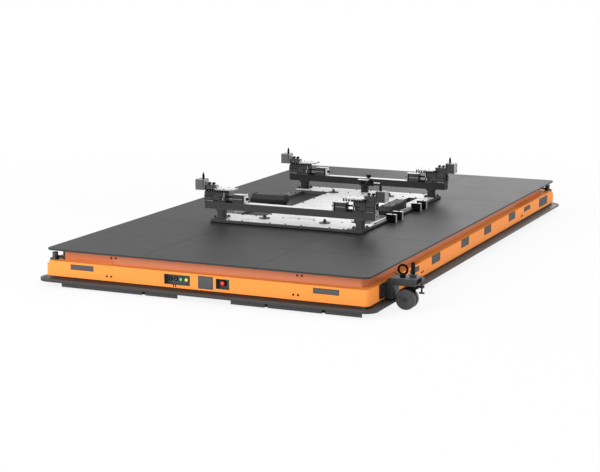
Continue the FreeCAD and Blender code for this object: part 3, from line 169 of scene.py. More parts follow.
# Finishes: colour as seen, mottled shade, worn edge, dust and grain, all open to change.
# What a look doesn't give is taken from plainLook.
# Some finishes are lighter or darker copies of one paint for lit and shaded faces: painted light and shade.
plainLook = dict(rough=0.45, roughSwing=0.08, metal=0.0, specular=0.4, coat=0.0, coatRough=0.3,
                 edgeRadius=0.0015, edgeAmount=0.4, edgeBreakup=45.0, mottle=2.5, dust=0.04, dustPatch=5.0,
                 dustColour=(0.55, 0.53, 0.50), fine=600.0, stretch=(1, 1, 1), bump=0.08, bumpDepth=0.0002,
                 specks=0.0, speckScale=30.0, speckSize=0.2, speckColour=(0.05, 0.05, 0.05), glow=0.0)
finishes = {
    "orangePaint": dict(colour=(0.97, 0.325, 0.070), shade=(0.95, 0.300, 0.058), worn=(0.62, 0.20, 0.06),
                        rough=0.46, roughSwing=0.04, specular=0.08, edgeRadius=0.003, edgeAmount=0.2,
                        dust=0.0, fine=420.0, bump=0.04),
    # The band under the deck: the same orange painted darker, painted shade
    "shadedOrangeBand": dict(colour=(0.60, 0.165, 0.048), shade=(0.56, 0.152, 0.042), worn=(0.52, 0.18, 0.06),
                       rough=0.42, roughSwing=0.04, specular=0.35, edgeRadius=0.003, edgeAmount=0.2,
                       dust=0.0, fine=420.0, bump=0.04),
    # Brown for the flange under the skins: painted shade and painted reflection of the orange
    "flangeShadeBrown": dict(colour=(0.085, 0.030, 0.012), shade=(0.070, 0.024, 0.010), worn=(0.20, 0.08, 0.03),
                        rough=0.50, specular=0.10, edgeAmount=0.2, dust=0.0),
    "trayGrey": dict(colour=(0.080, 0.080, 0.084), shade=(0.070, 0.070, 0.074), worn=(0.14, 0.14, 0.14),
                     rough=0.50, specular=0.20, edgeAmount=0.2, fine=900.0, bump=0.08),
    "deckAnodised": dict(colour=(0.030, 0.030, 0.031), shade=(0.027, 0.027, 0.028), worn=(0.07, 0.07, 0.07),
                         rough=0.45, roughSwing=0.03, specular=0.12, dust=0.0, edgeRadius=0.002,
                         edgeAmount=0.2, fine=700.0),
    "deckEdge": dict(colour=(0.038, 0.038, 0.038), shade=(0.030, 0.030, 0.030), worn=(0.10, 0.10, 0.10),
                     rough=0.55, specular=0.2, edgeAmount=0.3, dust=0.0),
    "darkPaint": dict(colour=(0.036, 0.036, 0.037), shade=(0.029, 0.029, 0.030), worn=(0.13, 0.13, 0.13),
                      rough=0.46, roughSwing=0.10, specular=0.28, edgeRadius=0.002, edgeAmount=0.5,
                      dust=0.03),
    "bumperRubber": dict(colour=(0.058, 0.058, 0.058), shade=(0.050, 0.050, 0.050), worn=(0.11, 0.11, 0.11),
                         rough=0.42, roughSwing=0.06, specular=0.14, edgeRadius=0.004, edgeAmount=0.2,
                         dust=0.03, fine=300.0, bump=0.10, bumpDepth=0.0003),
    "blackGasket": dict(colour=(0.008, 0.008, 0.008), shade=(0.006, 0.006, 0.006), worn=(0.03, 0.03, 0.03),
                        rough=0.60, specular=0.2, edgeAmount=0.2, dust=0.0),
    "milledPlate": dict(colour=(0.88, 0.88, 0.89), shade=(0.70, 0.70, 0.71), worn=(0.94, 0.94, 0.94),
                        rough=0.40, roughSwing=0.12, metal=0.15, edgeAmount=0.4, dust=0.0, fine=260.0,
                        stretch=(1, 12, 1), bump=0.08, specks=0.42, speckScale=26.0, speckSize=0.18),
    "railGrey": dict(colour=(0.085, 0.085, 0.087), shade=(0.070, 0.070, 0.072), worn=(0.22, 0.22, 0.22),
                     rough=0.48, specular=0.35, edgeAmount=0.4, specks=0.35, speckScale=18.0,
                     speckSize=0.14),
    "panDark": dict(colour=(0.026, 0.026, 0.027), shade=(0.020, 0.020, 0.021), worn=(0.08, 0.08, 0.08),
                    rough=0.50, specular=0.2, edgeAmount=0.2, dust=0.0),
    # Near white for light parts, and for tops painted light: painted highlight
    "lightCapAndLitTop": dict(colour=(0.80, 0.80, 0.80), shade=(0.72, 0.72, 0.72), worn=(0.9, 0.9, 0.9),
                     rough=0.38, roughSwing=0.06, metal=0.1, edgeAmount=0.3, dust=0.0),
    "lightGrey": dict(colour=(0.42, 0.42, 0.43), shade=(0.34, 0.34, 0.35), worn=(0.60, 0.60, 0.60),
                      rough=0.40, roughSwing=0.08, metal=0.2, edgeAmount=0.4, dust=0.0),
    "groundSteel": dict(colour=(0.58, 0.58, 0.59), shade=(0.46, 0.46, 0.47), worn=(0.75, 0.75, 0.75),
                        rough=0.26, roughSwing=0.10, metal=1.0, specular=0.5, edgeRadius=0.001, dust=0.0,
                        fine=500.0, stretch=(1, 1, 12), bump=0.06, bumpDepth=0.0001),
    "blackSteel": dict(colour=(0.012, 0.012, 0.013), shade=(0.008, 0.008, 0.009), worn=(0.14, 0.14, 0.14),
                       rough=0.36, roughSwing=0.12, metal=0.2, specular=0.5, edgeAmount=0.45, dust=0.02,
                       fine=500.0, bump=0.06),
    # Near black for black parts, and painted shade in slits, slots and gaps
    "jetBlackAndShade": dict(colour=(0.004, 0.004, 0.004), shade=(0.003, 0.003, 0.003), worn=(0.02, 0.02, 0.02),
                     rough=0.55, specular=0.06, edgeAmount=0.2, dust=0.0),
    "beamDark": dict(colour=(0.018, 0.018, 0.018), shade=(0.013, 0.013, 0.013), worn=(0.10, 0.10, 0.10),
                     rough=0.50, specular=0.16, edgeAmount=0.4, dust=0.0),
    # Lighter grey for the arm's top faces: painted highlight
    "armTop": dict(colour=(0.12, 0.12, 0.12), shade=(0.10, 0.10, 0.10), worn=(0.22, 0.22, 0.22),
                   rough=0.50, specular=0.15, edgeAmount=0.4, dust=0.0),
    "castGrey": dict(colour=(0.125, 0.125, 0.127), shade=(0.105, 0.105, 0.107), worn=(0.25, 0.25, 0.25),
                     rough=0.46, specular=0.25, edgeAmount=0.4, dust=0.0),
    "darkMoulding": dict(colour=(0.030, 0.030, 0.032), shade=(0.024, 0.024, 0.026), worn=(0.08, 0.08, 0.08),
                         rough=0.50, specular=0.35, edgeAmount=0.25, fine=900.0, bump=0.14),
    "sensorWindow": dict(colour=(0.098, 0.099, 0.101), shade=(0.090, 0.091, 0.093), worn=(0.13, 0.13, 0.13),
                         rough=0.46, roughSwing=0.04, specular=0.03, dust=0.0, edgeRadius=0.001,
                         edgeAmount=0.1, fine=900.0, bump=0.01, bumpDepth=0.0001),
    "tyreRubber": dict(colour=(0.075, 0.075, 0.077), shade=(0.062, 0.062, 0.064), worn=(0.14, 0.14, 0.14),
                       rough=0.60, roughSwing=0.10, specular=0.35, edgeRadius=0.004, edgeAmount=0.3,
                       dust=0.08, fine=250.0, bump=0.2, bumpDepth=0.0004),
    "redButton": dict(colour=(0.80, 0.030, 0.022), shade=(0.72, 0.024, 0.018), worn=(0.60, 0.10, 0.08),
                      rough=0.28, specular=0.5, coat=0.3, coatRough=0.1, edgeAmount=0.2, bump=0.03),
    "greenButton": dict(colour=(0.080, 0.72, 0.18), shade=(0.070, 0.66, 0.15), worn=(0.2, 0.6, 0.3),
                        rough=0.24, specular=0.5, coat=0.3, coatRough=0.1, edgeAmount=0.1, bump=0.02,
                        glow=0.12),
    "greenRing": dict(colour=(0.020, 0.13, 0.045), shade=(0.016, 0.11, 0.036), worn=(0.05, 0.2, 0.08),
                      rough=0.30, specular=0.5, edgeAmount=0.1, bump=0.02),
    "yellowButton": dict(colour=(0.95, 0.80, 0.10), shade=(0.90, 0.74, 0.08), worn=(0.8, 0.7, 0.3),
                         rough=0.24, specular=0.5, coat=0.3, coatRough=0.1, edgeAmount=0.1, bump=0.02,
                         glow=0.10),
    "yellowRing": dict(colour=(0.42, 0.34, 0.06), shade=(0.36, 0.29, 0.05), worn=(0.5, 0.4, 0.1),
                       rough=0.30, specular=0.5, edgeAmount=0.1, bump=0.02),
}


def placeGroup(tree, group, place, **values):
    made = addNode(tree, "ShaderNodeGroup", place)
    made.node_tree = group
    for name, value in values.items():
        made.inputs[name.replace("_", " ")].default_value = value
    return made


def mixColour(tree, place, mask, under, over):
    # Two colours or links, blended by a mask link
    made = addNode(tree, "ShaderNodeMix", place, data_type="RGBA")
    link(tree, mask, made.inputs["Factor"])
    for socket, value in ((made.inputs[6], under), (made.inputs[7], over)):
        if hasattr(value, "is_output"):
            link(tree, value, socket)
        else:
            socket.default_value = (*value, 1.0)
    return made.outputs[2]


def makeFinish(name, given):
    look = {**plainLook, **given}
    material = bpy.data.materials.new(name)
    material.use_nodes = True
    tree = material.node_tree
    shader = tree.nodes["Principled BSDF"]
    grain = placeGroup(tree, surfaceGrain, (-900, 0), Fine_Scale=look["fine"], Stretch=look["stretch"],
                       Mottle_Scale=look["mottle"])
    wear = placeGroup(tree, edgeWear, (-900, -250), Radius=look["edgeRadius"], Breakup=look["edgeBreakup"],
                      Amount=look["edgeAmount"])
    dust = placeGroup(tree, settledDust, (-900, -500), Patch_Scale=look["dustPatch"], Amount=look["dust"])
    tone = mixColour(tree, (-600, 100), grain.outputs["Mottle"], look["colour"], look["shade"])
    tone = mixColour(tree, (-450, 100), wear.outputs["Mask"], tone, look["worn"])
    tone = mixColour(tree, (-300, 100), dust.outputs["Mask"], tone, look["dustColour"])
    if look["specks"] > 0:
        specks = placeGroup(tree, darkSpecks, (-900, 300), Scale=look["speckScale"], Size=look["speckSize"],
                            Amount=look["specks"])
        tone = mixColour(tree, (-150, 100), specks.outputs["Mask"], tone, look["speckColour"])
    link(tree, tone, shader.inputs["Base Color"])
    swing = addNode(tree, "ShaderNodeMapRange", (-400, -200),
                    {"To Min": look["rough"] - look["roughSwing"],
                     "To Max": look["rough"] + look["roughSwing"]})
    wire(tree, (grain, "Mottle", swing, "Value"), (swing, "Result", shader, "Roughness"))
    bump = addNode(tree, "ShaderNodeBump", (-400, -450),
                   {"Strength": look["bump"], "Distance": look["bumpDepth"]})
    wire(tree, (grain, "Height", bump, "Height"), (bump, "Normal", shader, "Normal"))
    for label, key in (("Metallic", "metal"), ("Specular IOR Level", "specular"), ("Coat Weight", "coat"),
                       ("Coat Roughness", "coatRough")):
        shader.inputs[label].default_value = look[key]
    if look["glow"] > 0:
        shader.inputs["Emission Color"].default_value = (*look["colour"], 1.0)
        shader.inputs["Emission Strength"].default_value = look["glow"]
    return material


materials = {name: makeFinish(name, look) for name, look in finishes.items()}
print("finishes built:", len(materials))


# Making pieces

def span(sign, near, far, middle=0.0):
    # Both ends of a stretch on one side of a middle, the lower one first
    return sorted((middle + sign * near, middle + sign * far))


def toPiece(name, mesh, body, looks, stands=None, smoothAngle=35):
    # A finished mesh becomes a piece that rides on its body
    mesh.name = name
    for look in looks[len(mesh.materials):]:
        mesh.materials.append(materials[look])
    mesh.polygons.foreach_set("use_smooth", [True] * len(mesh.polygons))
    mesh.set_sharp_from_angle(angle=math.radians(smoothAngle))
    piece = bpy.data.objects.new(name, mesh)
    bpy.context.scene.collection.objects.link(piece)
    if stands:
        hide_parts(stands)
    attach(piece, body)
    return piece


def applied(scratch):
    # The plain mesh of an object with its modifiers applied; the object itself goes
    bpy.context.view_layer.update()
    graph = bpy.context.evaluated_depsgraph_get()
    mesh = bpy.data.meshes.new_from_object(scratch.evaluated_get(graph))
    bpy.data.objects.remove(scratch)
    return mesh


def dressCopy(node, looks, pick=None, bevel=0.0015, segments=2):
    # A merged copy of a CAD node with bevelled edges and a finish chosen face by face
    work = bmesh.new()
    work.from_mesh(nodes[node].data)
    bmesh.ops.remove_doubles(work, verts=work.verts, dist=0.00002)
    bmesh.ops.dissolve_limit(work, angle_limit=math.radians(0.5), verts=work.verts, edges=work.edges)
    if pick:
        for face in work.faces:
            face.material_index = looks.index(pick(face.calc_center_median(), face.normal))
    mesh = bpy.data.meshes.new(node + "Dressed")
    work.to_mesh(mesh)
    work.free()
    scratch = bpy.data.objects.new(node + "Scratch", mesh)
    bpy.context.scene.collection.objects.link(scratch)
    for look in looks:
        mesh.materials.append(materials[look])
    if bevel:
        rounding = scratch.modifiers.new("edges", "BEVEL")
        rounding.width = bevel
        rounding.segments = segments
        rounding.limit_method = "ANGLE"
        rounding.angle_limit = math.radians(40)
        rounding.use_clamp_overlap = True
    return toPiece(node + "Dressed", applied(scratch), bodyOf[node], looks, node, 20)


def addBlock(work, low, high, slot=0, edge=0.001):
    # A block with chamfered edges, added to a piece being built
    made = bmesh.ops.create_cube(work, size=1.0)
    middle = (Vector(low) + Vector(high)) / 2
    size = Vector(high) - Vector(low)
    for vert in made["verts"]:
        vert.co = Vector((vert.co.x * size.x, vert.co.y * size.y, vert.co.z * size.z)) + middle
    faces = dict.fromkeys(face for vert in made["verts"] for face in vert.link_faces)
    for face in faces:
        face.material_index = slot
    if edge:
        lines = list(dict.fromkeys(line for face in faces for line in face.edges))
        offset = min(edge, 0.3 * min(abs(value) for value in size))
        bmesh.ops.bevel(work, geom=lines, offset=offset, segments=1, affect="EDGES", profile=0.5)


def joinLoops(work, loops, slot=0):
    # Quads between each loop of points and the next
    count = len(loops[0])
    for lower, upper in zip(loops, loops[1:]):
        for i in range(count):
            after = (i + 1) % count
            work.faces.new((lower[i], lower[after], upper[after], upper[i])).material_index = slot


def addTurned(work, start, axis, rings, slot=0, sides=20):
    # A closed turned shape: rings are (distance along the axis, radius), each end capped
    axis = Vector(axis).normalized()
    across = axis.orthogonal().normalized()
    other = axis.cross(across)
    turns = [math.tau * i / sides for i in range(sides)]
    loops = []
    for far, radius in rings:
        middle = Vector(start) + axis * far
        loops.append([work.verts.new(middle + radius * (across * math.cos(turn) + other * math.sin(turn)))
                      for turn in turns])
    joinLoops(work, loops, slot)
    for loop in (list(reversed(loops[0])), loops[-1]):
        work.faces.new(loop).material_index = slot


def buildPiece(name, body, looks, work, smoothAngle=35):
    bmesh.ops.recalc_face_normals(work, faces=work.faces)
    mesh = bpy.data.meshes.new(name)
    work.to_mesh(mesh)
    work.free()
    return toPiece(name, mesh, body, looks, smoothAngle=smoothAngle)


# Socket-head screws set on points by one Geometry Nodes tree

def makeScrewTree():
    tree = bpy.data.node_groups.new("socketScrews", "GeometryNodeTree")
    tree.interface.new_socket(name="Points", in_out="INPUT", socket_type="NodeSocketGeometry")
    for label, value in (("Head Radius", 0.008), ("Head Height", 0.006), ("Socket Share", 0.55)):
        made = tree.interface.new_socket(name=label, in_out="INPUT", socket_type="NodeSocketFloat")
        made.default_value = value
    made = tree.interface.new_socket(name="Sides", in_out="INPUT", socket_type="NodeSocketInt")
    made.default_value = 12
    tree.interface.new_socket(name="Finish", in_out="INPUT", socket_type="NodeSocketMaterial")
    tree.interface.new_socket(name="Screws", in_out="OUTPUT", socket_type="NodeSocketGeometry")
    given = addNode(tree, "NodeGroupInput", (-1200, 0))
    result = addNode(tree, "NodeGroupOutput", (1000, 0))
    head = addNode(tree, "GeometryNodeMeshCylinder", (-900, 200), fill_type="NGON")
    inner = addNode(tree, "GeometryNodeExtrudeMesh", (-650, 200), {"Offset Scale": 0.0}, mode="FACES")
    narrow = addNode(tree, "GeometryNodeScaleElements", (-400, 200), domain="FACE")
    socket = addNode(tree, "GeometryNodeExtrudeMesh", (-150, 200), mode="FACES")
    depth = addNode(tree, "ShaderNodeMath", (-400, 0), {1: -0.6}, operation="MULTIPLY")
    half = addNode(tree, "ShaderNodeMath", (-400, -150), {1: 0.5}, operation="MULTIPLY")
    lift = addNode(tree, "ShaderNodeCombineXYZ", (-150, -100))
    raised = addNode(tree, "GeometryNodeTransform", (100, 150))
    facing = addNode(tree, "GeometryNodeInputNamedAttribute", (-400, -350), {"Name": "facing"},
                     data_type="FLOAT_VECTOR")
    turn = addNode(tree, "FunctionNodeAlignRotationToVector", (-150, -350), axis="Z")
    spread = addNode(tree, "GeometryNodeInstanceOnPoints", (350, 0))
    real = addNode(tree, "GeometryNodeRealizeInstances", (550, 0))
    coat = addNode(tree, "GeometryNodeSetMaterial", (750, 0))
    wire(tree, (given, "Sides", head, "Vertices"), (given, "Head Radius", head, "Radius"),
               (given, "Head Height", head, "Depth"), (head, "Mesh", inner, "Mesh"),
               (head, "Top", inner, "Selection"), (inner, "Mesh", narrow, "Geometry"),
               (inner, "Top", narrow, "Selection"), (given, "Socket Share", narrow, "Scale"),
               (narrow, "Geometry", socket, "Mesh"), (inner, "Top", socket, "Selection"),
               (given, "Head Height", depth, 0), (depth, "Value", socket, "Offset Scale"),
               (given, "Head Height", half, 0), (half, "Value", lift, "Z"),
               (socket, "Mesh", raised, "Geometry"), (lift, "Vector", raised, "Translation"),
               (facing, "Attribute", turn, "Vector"), (given, "Points", spread, "Points"),
               (raised, "Geometry", spread, "Instance"), (turn, "Rotation", spread, "Rotation"),
               (spread, "Instances", real, "Geometry"), (real, "Geometry", coat, "Geometry"),
               (given, "Finish", coat, "Material"), (coat, "Geometry", result, "Screws"))
    return tree


screwTree = makeScrewTree()


def setInput(modifier, label, value):
    socket = next(item for item in modifier.node_group.interface.items_tree
                  if item.name == label and item.in_out == "INPUT")
    modifier[socket.identifier] = value


def addScrews(name, body, spots, look="blackSteel", radius=0.008, height=0.006, share=0.55, sides=12):
    # spots are (place, outward direction)
    mesh = bpy.data.meshes.new(name)
    mesh.from_pydata([place for place, _ in spots], [], [])
    facing = mesh.attributes.new("facing", "FLOAT_VECTOR", "POINT")
    facing.data.foreach_set("vector", [value for _, out in spots for value in out])
    scratch = bpy.data.objects.new(name + "Points", mesh)
    bpy.context.scene.collection.objects.link(scratch)
    modifier = scratch.modifiers.new("screws", "NODES")
    modifier.node_group = screwTree
    for label, value in (("Head Radius", radius), ("Head Height", height), ("Socket Share", share),
                         ("Sides", sides), ("Finish", materials[look])):
        setInput(modifier, label, value)
    return toPiece(name, applied(scratch), body, [look])


# Deck: matt plates with a darker edge, countersunk screws along the seams and the rim.
# Screws are given as finish, head radius, head height, the socket's share and sides.
deck = dict(half=(1.600, 2.965), top=0.350, seams=(-0.598, 0.530), rows=(-2.095, -1.225, 1.225, 2.095),
            screws=("deckEdge", 0.0065, 0.0006, 0.6, 8), sunk=0.0002, fromSeam=0.022, fromRim=0.035,
            fromCorner=0.06, spacing=0.42, bare=(0.83, 1.19), sealHalf=0.0017, sealDown=(0.007, 0.0015),
            sealEnd=0.004, corner=0.070, rimInset=(0.002, 0.016), rimDown=(0.0165, 0.0115), rimSteps=8)


def deckSpots():
    # Places of the screws round each plate, none under the fixture
    halfX, halfY = deck["half"]
    columns = [-halfX, *deck["seams"], halfX]
    rows = [-halfY, *deck["rows"], halfY]
    inset = deck["fromCorner"]
    spots = []
    for i, (x0, x1) in enumerate(zip(columns, columns[1:])):
        left = x0 + (deck["fromRim"] if i == 0 else deck["fromSeam"])
        right = x1 - (deck["fromRim"] if i == len(columns) - 2 else deck["fromSeam"])
        for j, (y0, y1) in enumerate(zip(rows, rows[1:])):
            near = y0 + (deck["fromRim"] if j == 0 else deck["fromSeam"])
            far = y1 - (deck["fromRim"] if j == len(rows) - 2 else deck["fromSeam"])
            across = max(2, round((right - left) / deck["spacing"]) + 1)
            along = max(2, round((far - near) / deck["spacing"]) + 1)
            for k in range(across):
                x = left + inset + (right - left - 2 * inset) * k / (across - 1)
                spots += [(x, near), (x, far)]
            for k in range(1, along - 1):
                y = near + inset + (far - near - 2 * inset) * k / (along - 1)
                spots += [(left, y), (right, y)]
    bareX, bareY = deck["bare"]
    return [((x, y, deck["top"] - deck["sunk"]), (0, 0, 1)) for x, y in spots
            if abs(x) > bareX or abs(y) > bareY]


def rimLoop(work, inset, z):
    # Points round the deck's rim, at a distance inside it
    halfX, halfY = deck["half"]
    corner, steps = deck["corner"], deck["rimSteps"]
    loop = []
    for quarter, (sx, sy) in enumerate(((1, 1), (-1, 1), (-1, -1), (1, -1))):
        for step in range(steps + 1):
            angle = math.pi / 2 * (quarter + step / steps)
            loop.append(work.verts.new((sx * (halfX - corner) + (corner - inset) * math.cos(angle),
                                        sy * (halfY - corner) + (corner - inset) * math.sin(angle), z)))
    return loop


def makeDeck():
    dressCopy("deck_plates", ["deckAnodised", "deckEdge"],
              lambda middle, normal: "deckAnodised" if normal.z > 0.9 else "deckEdge", bevel=0.0012)
    addScrews("deckScrews", "platform", deckSpots(), *deck["screws"])
    # Rubber cords that close the seams from below
    work = bmesh.new()
    halfX, halfY = deck["half"]
    half, end = deck["sealHalf"], deck["sealEnd"]
    low, high = [deck["top"] - down for down in deck["sealDown"]]
    for x in deck["seams"]:
        addBlock(work, (x - half, -halfY + end, low), (x + half, halfY - end, high), 0, 0)
    for y in deck["rows"]:
        addBlock(work, (-halfX + end, y - half, low), (halfX - end, y + half, high), 0, 0)
    buildPiece("deckSeals", "platform", ["blackGasket"], work)
    # Dark strip under the rim: painted shadow of the deck's overhang
    work = bmesh.new()
    outer, inner = deck["rimInset"]
    low, high = [deck["top"] - down for down in deck["rimDown"]]
    loops = [rimLoop(work, inset, z)
             for inset, z in ((outer, low), (outer, high), (inner, high), (inner, low))]
    joinLoops(work, loops + loops[:1])
    buildPiece("deckRimShadow", "platform", ["deckEdge"], work)


makeDeck()
print("deck dressed")


# Orange skins: lower box and set-back band, with pairs of dark screws beside each seam
skin = dict(wall=(1.600, 2.965), bottom=0.097, ledge=0.2395, deckFoot=0.338, bandIn=0.085, seamX=0.926,
            seamY=1.623, screws=("blackGasket", 0.0095, 0.004, 0.5, 12), pairGap=0.023, lowZ=0.142,
            bandZ=0.295, sealHalf=0.001, sealFrom=0.0004, sealTo=0.004, sealLip=0.001)


def makeSkins():
    for node in nodes:
        if "_skin_" in node:
            # The band above the ledge gets the darker orange: painted shade under the deck
            dressCopy(node, ["orangePaint", "shadedOrangeBand"],
                      lambda middle, normal: "shadedOrangeBand" if middle.z > skin["ledge"] else "orangePaint",
                      bevel=0.0016)
    wallX, wallY = skin["wall"]
    seamX, seamY = skin["seamX"], skin["seamY"]
    spots = []
    for sx in (-1, 1):
        for sy in (-1, 1):
            for step in (-skin["pairGap"], skin["pairGap"]):
                for z, inset in ((skin["lowZ"], 0.0), (skin["bandZ"], skin["bandIn"])):
                    spots.append(((sx * seamX + step, sy * (wallY - inset), z), (0, sy, 0)))
                    spots.append(((sx * (wallX - inset), sy * seamY + step, z), (sx, 0, 0)))
    addScrews("skinScrews", "platform", spots, *skin["screws"])
    # Painted sealer in the joints between the modules, just below the surface
    work = bmesh.new()
    half = skin["sealHalf"]
    for sx in (-1, 1):
        for sy in (-1, 1):
            for z0, z1, inset, slot in ((skin["bottom"], skin["ledge"] - skin["sealLip"], 0.0, 0),
                                        (skin["ledge"], skin["deckFoot"], skin["bandIn"], 1)):
                y0, y1 = span(sy, wallY - inset - skin["sealFrom"], wallY - inset - skin["sealTo"])
                addBlock(work, (sx * seamX - half, y0, z0), (sx * seamX + half, y1, z1), slot, 0)
                x0, x1 = span(sx, wallX - inset - skin["sealFrom"], wallX - inset - skin["sealTo"])
                addBlock(work, (x0, sy * seamY - half, z0), (x1, sy * seamY + half, z1), slot, 0)
    buildPiece("seamSealer", "platform", ["orangePaint", "shadedOrangeBand"], work)


makeSkins()
print("skins dressed")


# Windows and covers with a thin dark gasket round each one, and lids on the free sockets
window = dict(gasket=0.0035, gasketIn=0.0005, proud=0.0012, gasketEdge=0.0004, lidY=2.500, lidHalf=0.1745,
              lidZ=(0.1225, 0.2215), lidIn=(0.0015, 0.0055), lidScrew=0.150, headIn=0.0005,
              lidHead=((0, 0.007), (0.0012, 0.007), (0.0014, 0.005)))


def looseParts(mesh):
    # Boxes of the separate shells of a mesh
    work = bmesh.new()
    work.from_mesh(mesh)
    bmesh.ops.remove_doubles(work, verts=work.verts, dist=0.00002)
    left = dict.fromkeys(work.verts)  # a dict keeps the same order in each run
    boxes = []
    while left:
        stack = [left.popitem()[0]]
        shell = list(stack)
        while stack:
            for edge in stack.pop().link_edges:
                for vert in edge.verts:
                    if vert in left:
                        del left[vert]
                        stack.append(vert)
                        shell.append(vert)
        low = Vector([min(vert.co[i] for vert in shell) for i in range(3)])
        high = Vector([max(vert.co[i] for vert in shell) for i in range(3)])
        boxes.append((low, high))
    work.free()
    return boxes


def makeWindows():
    dressCopy("skin_inserts", ["sensorWindow"], bevel=0.0008)
    work = bmesh.new()
    wide = window["gasket"]
    for low, high in looseParts(nodes["skin_inserts"].data):
        i = 0 if high.x - low.x < high.y - low.y else 1  # the axis that the window faces
        j = 1 - i
        out = 1 if (low + high)[i] > 0 else -1
        wall = skin["wall"][i]
        for a0, a1, z0, z1 in ((low[j] - wide, high[j] + wide, high.z, high.z + wide),
                               (low[j] - wide, high[j] + wide, low.z - wide, low.z),
                               (low[j] - wide, low[j], low.z, high.z),
                               (high[j], high[j] + wide, low.z, high.z)):
            near, far = [0, 0, z0], [0, 0, z1]
            near[i], far[i] = span(out, wall - window["gasketIn"], wall + window["proud"])
            near[j], far[j] = a0, a1
            addBlock(work, near, far, 0, window["gasketEdge"])
    buildPiece("windowGaskets", "platform", ["blackGasket"], work)
    work = bmesh.new()
    z0, z1 = window["lidZ"]
    wall = skin["wall"][0]
    for sx, sy in ((-1, -1), (-1, 1), (1, 1)):
        y = sy * window["lidY"]
        x0, x1 = span(sx, *(wall - depth for depth in window["lidIn"]))
        addBlock(work, (x0, y - window["lidHalf"], z0), (x1, y + window["lidHalf"], z1))
        for way in (-1, 1):
            face = sx * (wall - window["lidIn"][0] - window["headIn"])
            addTurned(work, (face, y + way * window["lidScrew"], (z0 + z1) / 2), (sx, 0, 0),
                      window["lidHead"], 1, 14)
    buildPiece("socketLids", "platform", ["sensorWindow", "jetBlackAndShade"], work)


makeWindows()
print("windows framed")


# Bumper: soft nose and hanging flaps; a brown flange and a black lip under the skins paint the shade there
bumper = dict(nose=0.006, flangeIn=(0.006, 0.026), flangeZ=(0.0755, 0.0900), lipZ=(0.0900, 0.0965),
              corner=0.075, gaps=((-0.5555, -0.5235), (0.6555, 0.6855), (1.1935, 1.2265)),
              stripPast=0.004, stripY=(3.0134, 3.0114), stripZ=(0.020, 0.052))


def makeBumpers():
    for name in ("bumper_front", "bumper_rear", "bumper_left", "bumper_right"):
        dressCopy(name, ["bumperRubber"], bevel=bumper["nose"], segments=3)
    work = bmesh.new()
    wallX, wallY = skin["wall"]
    corner = bumper["corner"]
    for sign in (-1, 1):
        x0, x1 = span(sign, *(wallX - inset for inset in bumper["flangeIn"]))
        y0, y1 = span(sign, *(wallY - inset for inset in bumper["flangeIn"]))
        # Flange and lip stand in for the shade under the skins: painted shade
        for (z0, z1), slot in ((bumper["flangeZ"], 1), (bumper["lipZ"], 0)):
            addBlock(work, (-wallX + corner, y0, z0), (wallX - corner, y1, z1), slot, 0)
            addBlock(work, (x0, -wallY + corner, z0), (x1, wallY - corner, z1), slot, 0)
    # Black strips behind the narrow gaps of the flaps: painted shade in the gaps
    z0, z1 = bumper["stripZ"]
    for sign in (-1, 1):
        y0, y1 = span(sign, *bumper["stripY"])
        for left, right in bumper["gaps"]:
            x0, x1 = span(-sign, left - bumper["stripPast"], right + bumper["stripPast"])
            addBlock(work, (x0, y0, z0), (x1, y1, z1), 0, 0)
    buildPiece("bumperGapShade", "platform", ["jetBlackAndShade", "flangeShadeBrown"], work)


makeBumpers()
print("bumper dressed")


# Operator panel: grey trays, lit buttons with their rings, key ring and red mushroom head
panel = dict(face=-2.913, bezel=0.007, z=0.168, start=-0.213, reset=-0.157, key=-0.317, socket=-0.263,
             ring=0.0185, litWide=0.0045, plainWide=0.0085, ringDeep=0.003, ringEdge=0.0006, pins=5,
             pinReach=0.006, pinShape=((0, 0.0013), (0.0025, 0.0013), (0.003, 0.0008)), wall=-2.965,
             ticks=(-0.265, -0.244), tickHalf=0.004, tickZ=(0.105, 0.127), stop=(0.210, 0.171),
             collar=(0.0165, 0.029), collarIn=0.0005)


def addRing(work, x, z, foot, inner, outer, slot, sides=28):
    # A raised ring that faces -Y
    face, edge = foot - panel["ringDeep"], panel["ringEdge"]
    loops = []
    for y, radius in ((foot, outer), (face + edge, outer), (face, outer - edge), (face, inner + edge),
                      (face + edge, inner), (foot, inner)):
        loops.append([work.verts.new((x + radius * math.cos(math.tau * i / sides), y,
                                      z + radius * math.sin(math.tau * i / sides))) for i in range(sides)])
    joinLoops(work, loops + loops[:1], slot)


def makePanel():
    dressCopy("operator_trays", ["trayGrey"], bevel=0.0008)
    work = bmesh.new()
    face = panel["face"] - panel["bezel"]
    for slot, name in enumerate(("start", "reset", "key", "socket")):
        wide = panel["litWide"] if slot < 2 else panel["plainWide"]
        addRing(work, panel[name], panel["z"], face, panel["ring"] - wide, panel["ring"], min(slot, 2))
    for i in range(panel["pins"]):
        turn = math.tau * i / panel["pins"]
        x = panel["socket"] + panel["pinReach"] * math.cos(turn)
        z = panel["z"] + panel["pinReach"] * math.sin(turn)
        addTurned(work, (x, face, z), (0, -1, 0), panel["pinShape"], 3, 8)
    # Two cable ends under the tray, and the collar of the stop button
    z0, z1 = panel["tickZ"]
    for x in panel["ticks"]:
        addBlock(work, (x - panel["tickHalf"], panel["wall"] - 0.002, z0),
                 (x + panel["tickHalf"], panel["wall"] + 0.001, z1), 2, 0)
    addRing(work, *panel["stop"], panel["face"] + panel["collarIn"], *panel["collar"], 2)
    buildPiece("panelRings", "platform", ["greenRing", "yellowRing", "jetBlackAndShade", "groundSteel"], work)
    dressCopy("start_button", ["greenButton"], bevel=0.0012)
    dressCopy("reset_button", ["yellowButton"], bevel=0.0012)
    dressCopy("key_switch", ["darkMoulding"], bevel=0.0006)
    dressCopy("stop_button", ["redButton"], bevel=0.0006)


makePanel()
print("operator panel dressed")


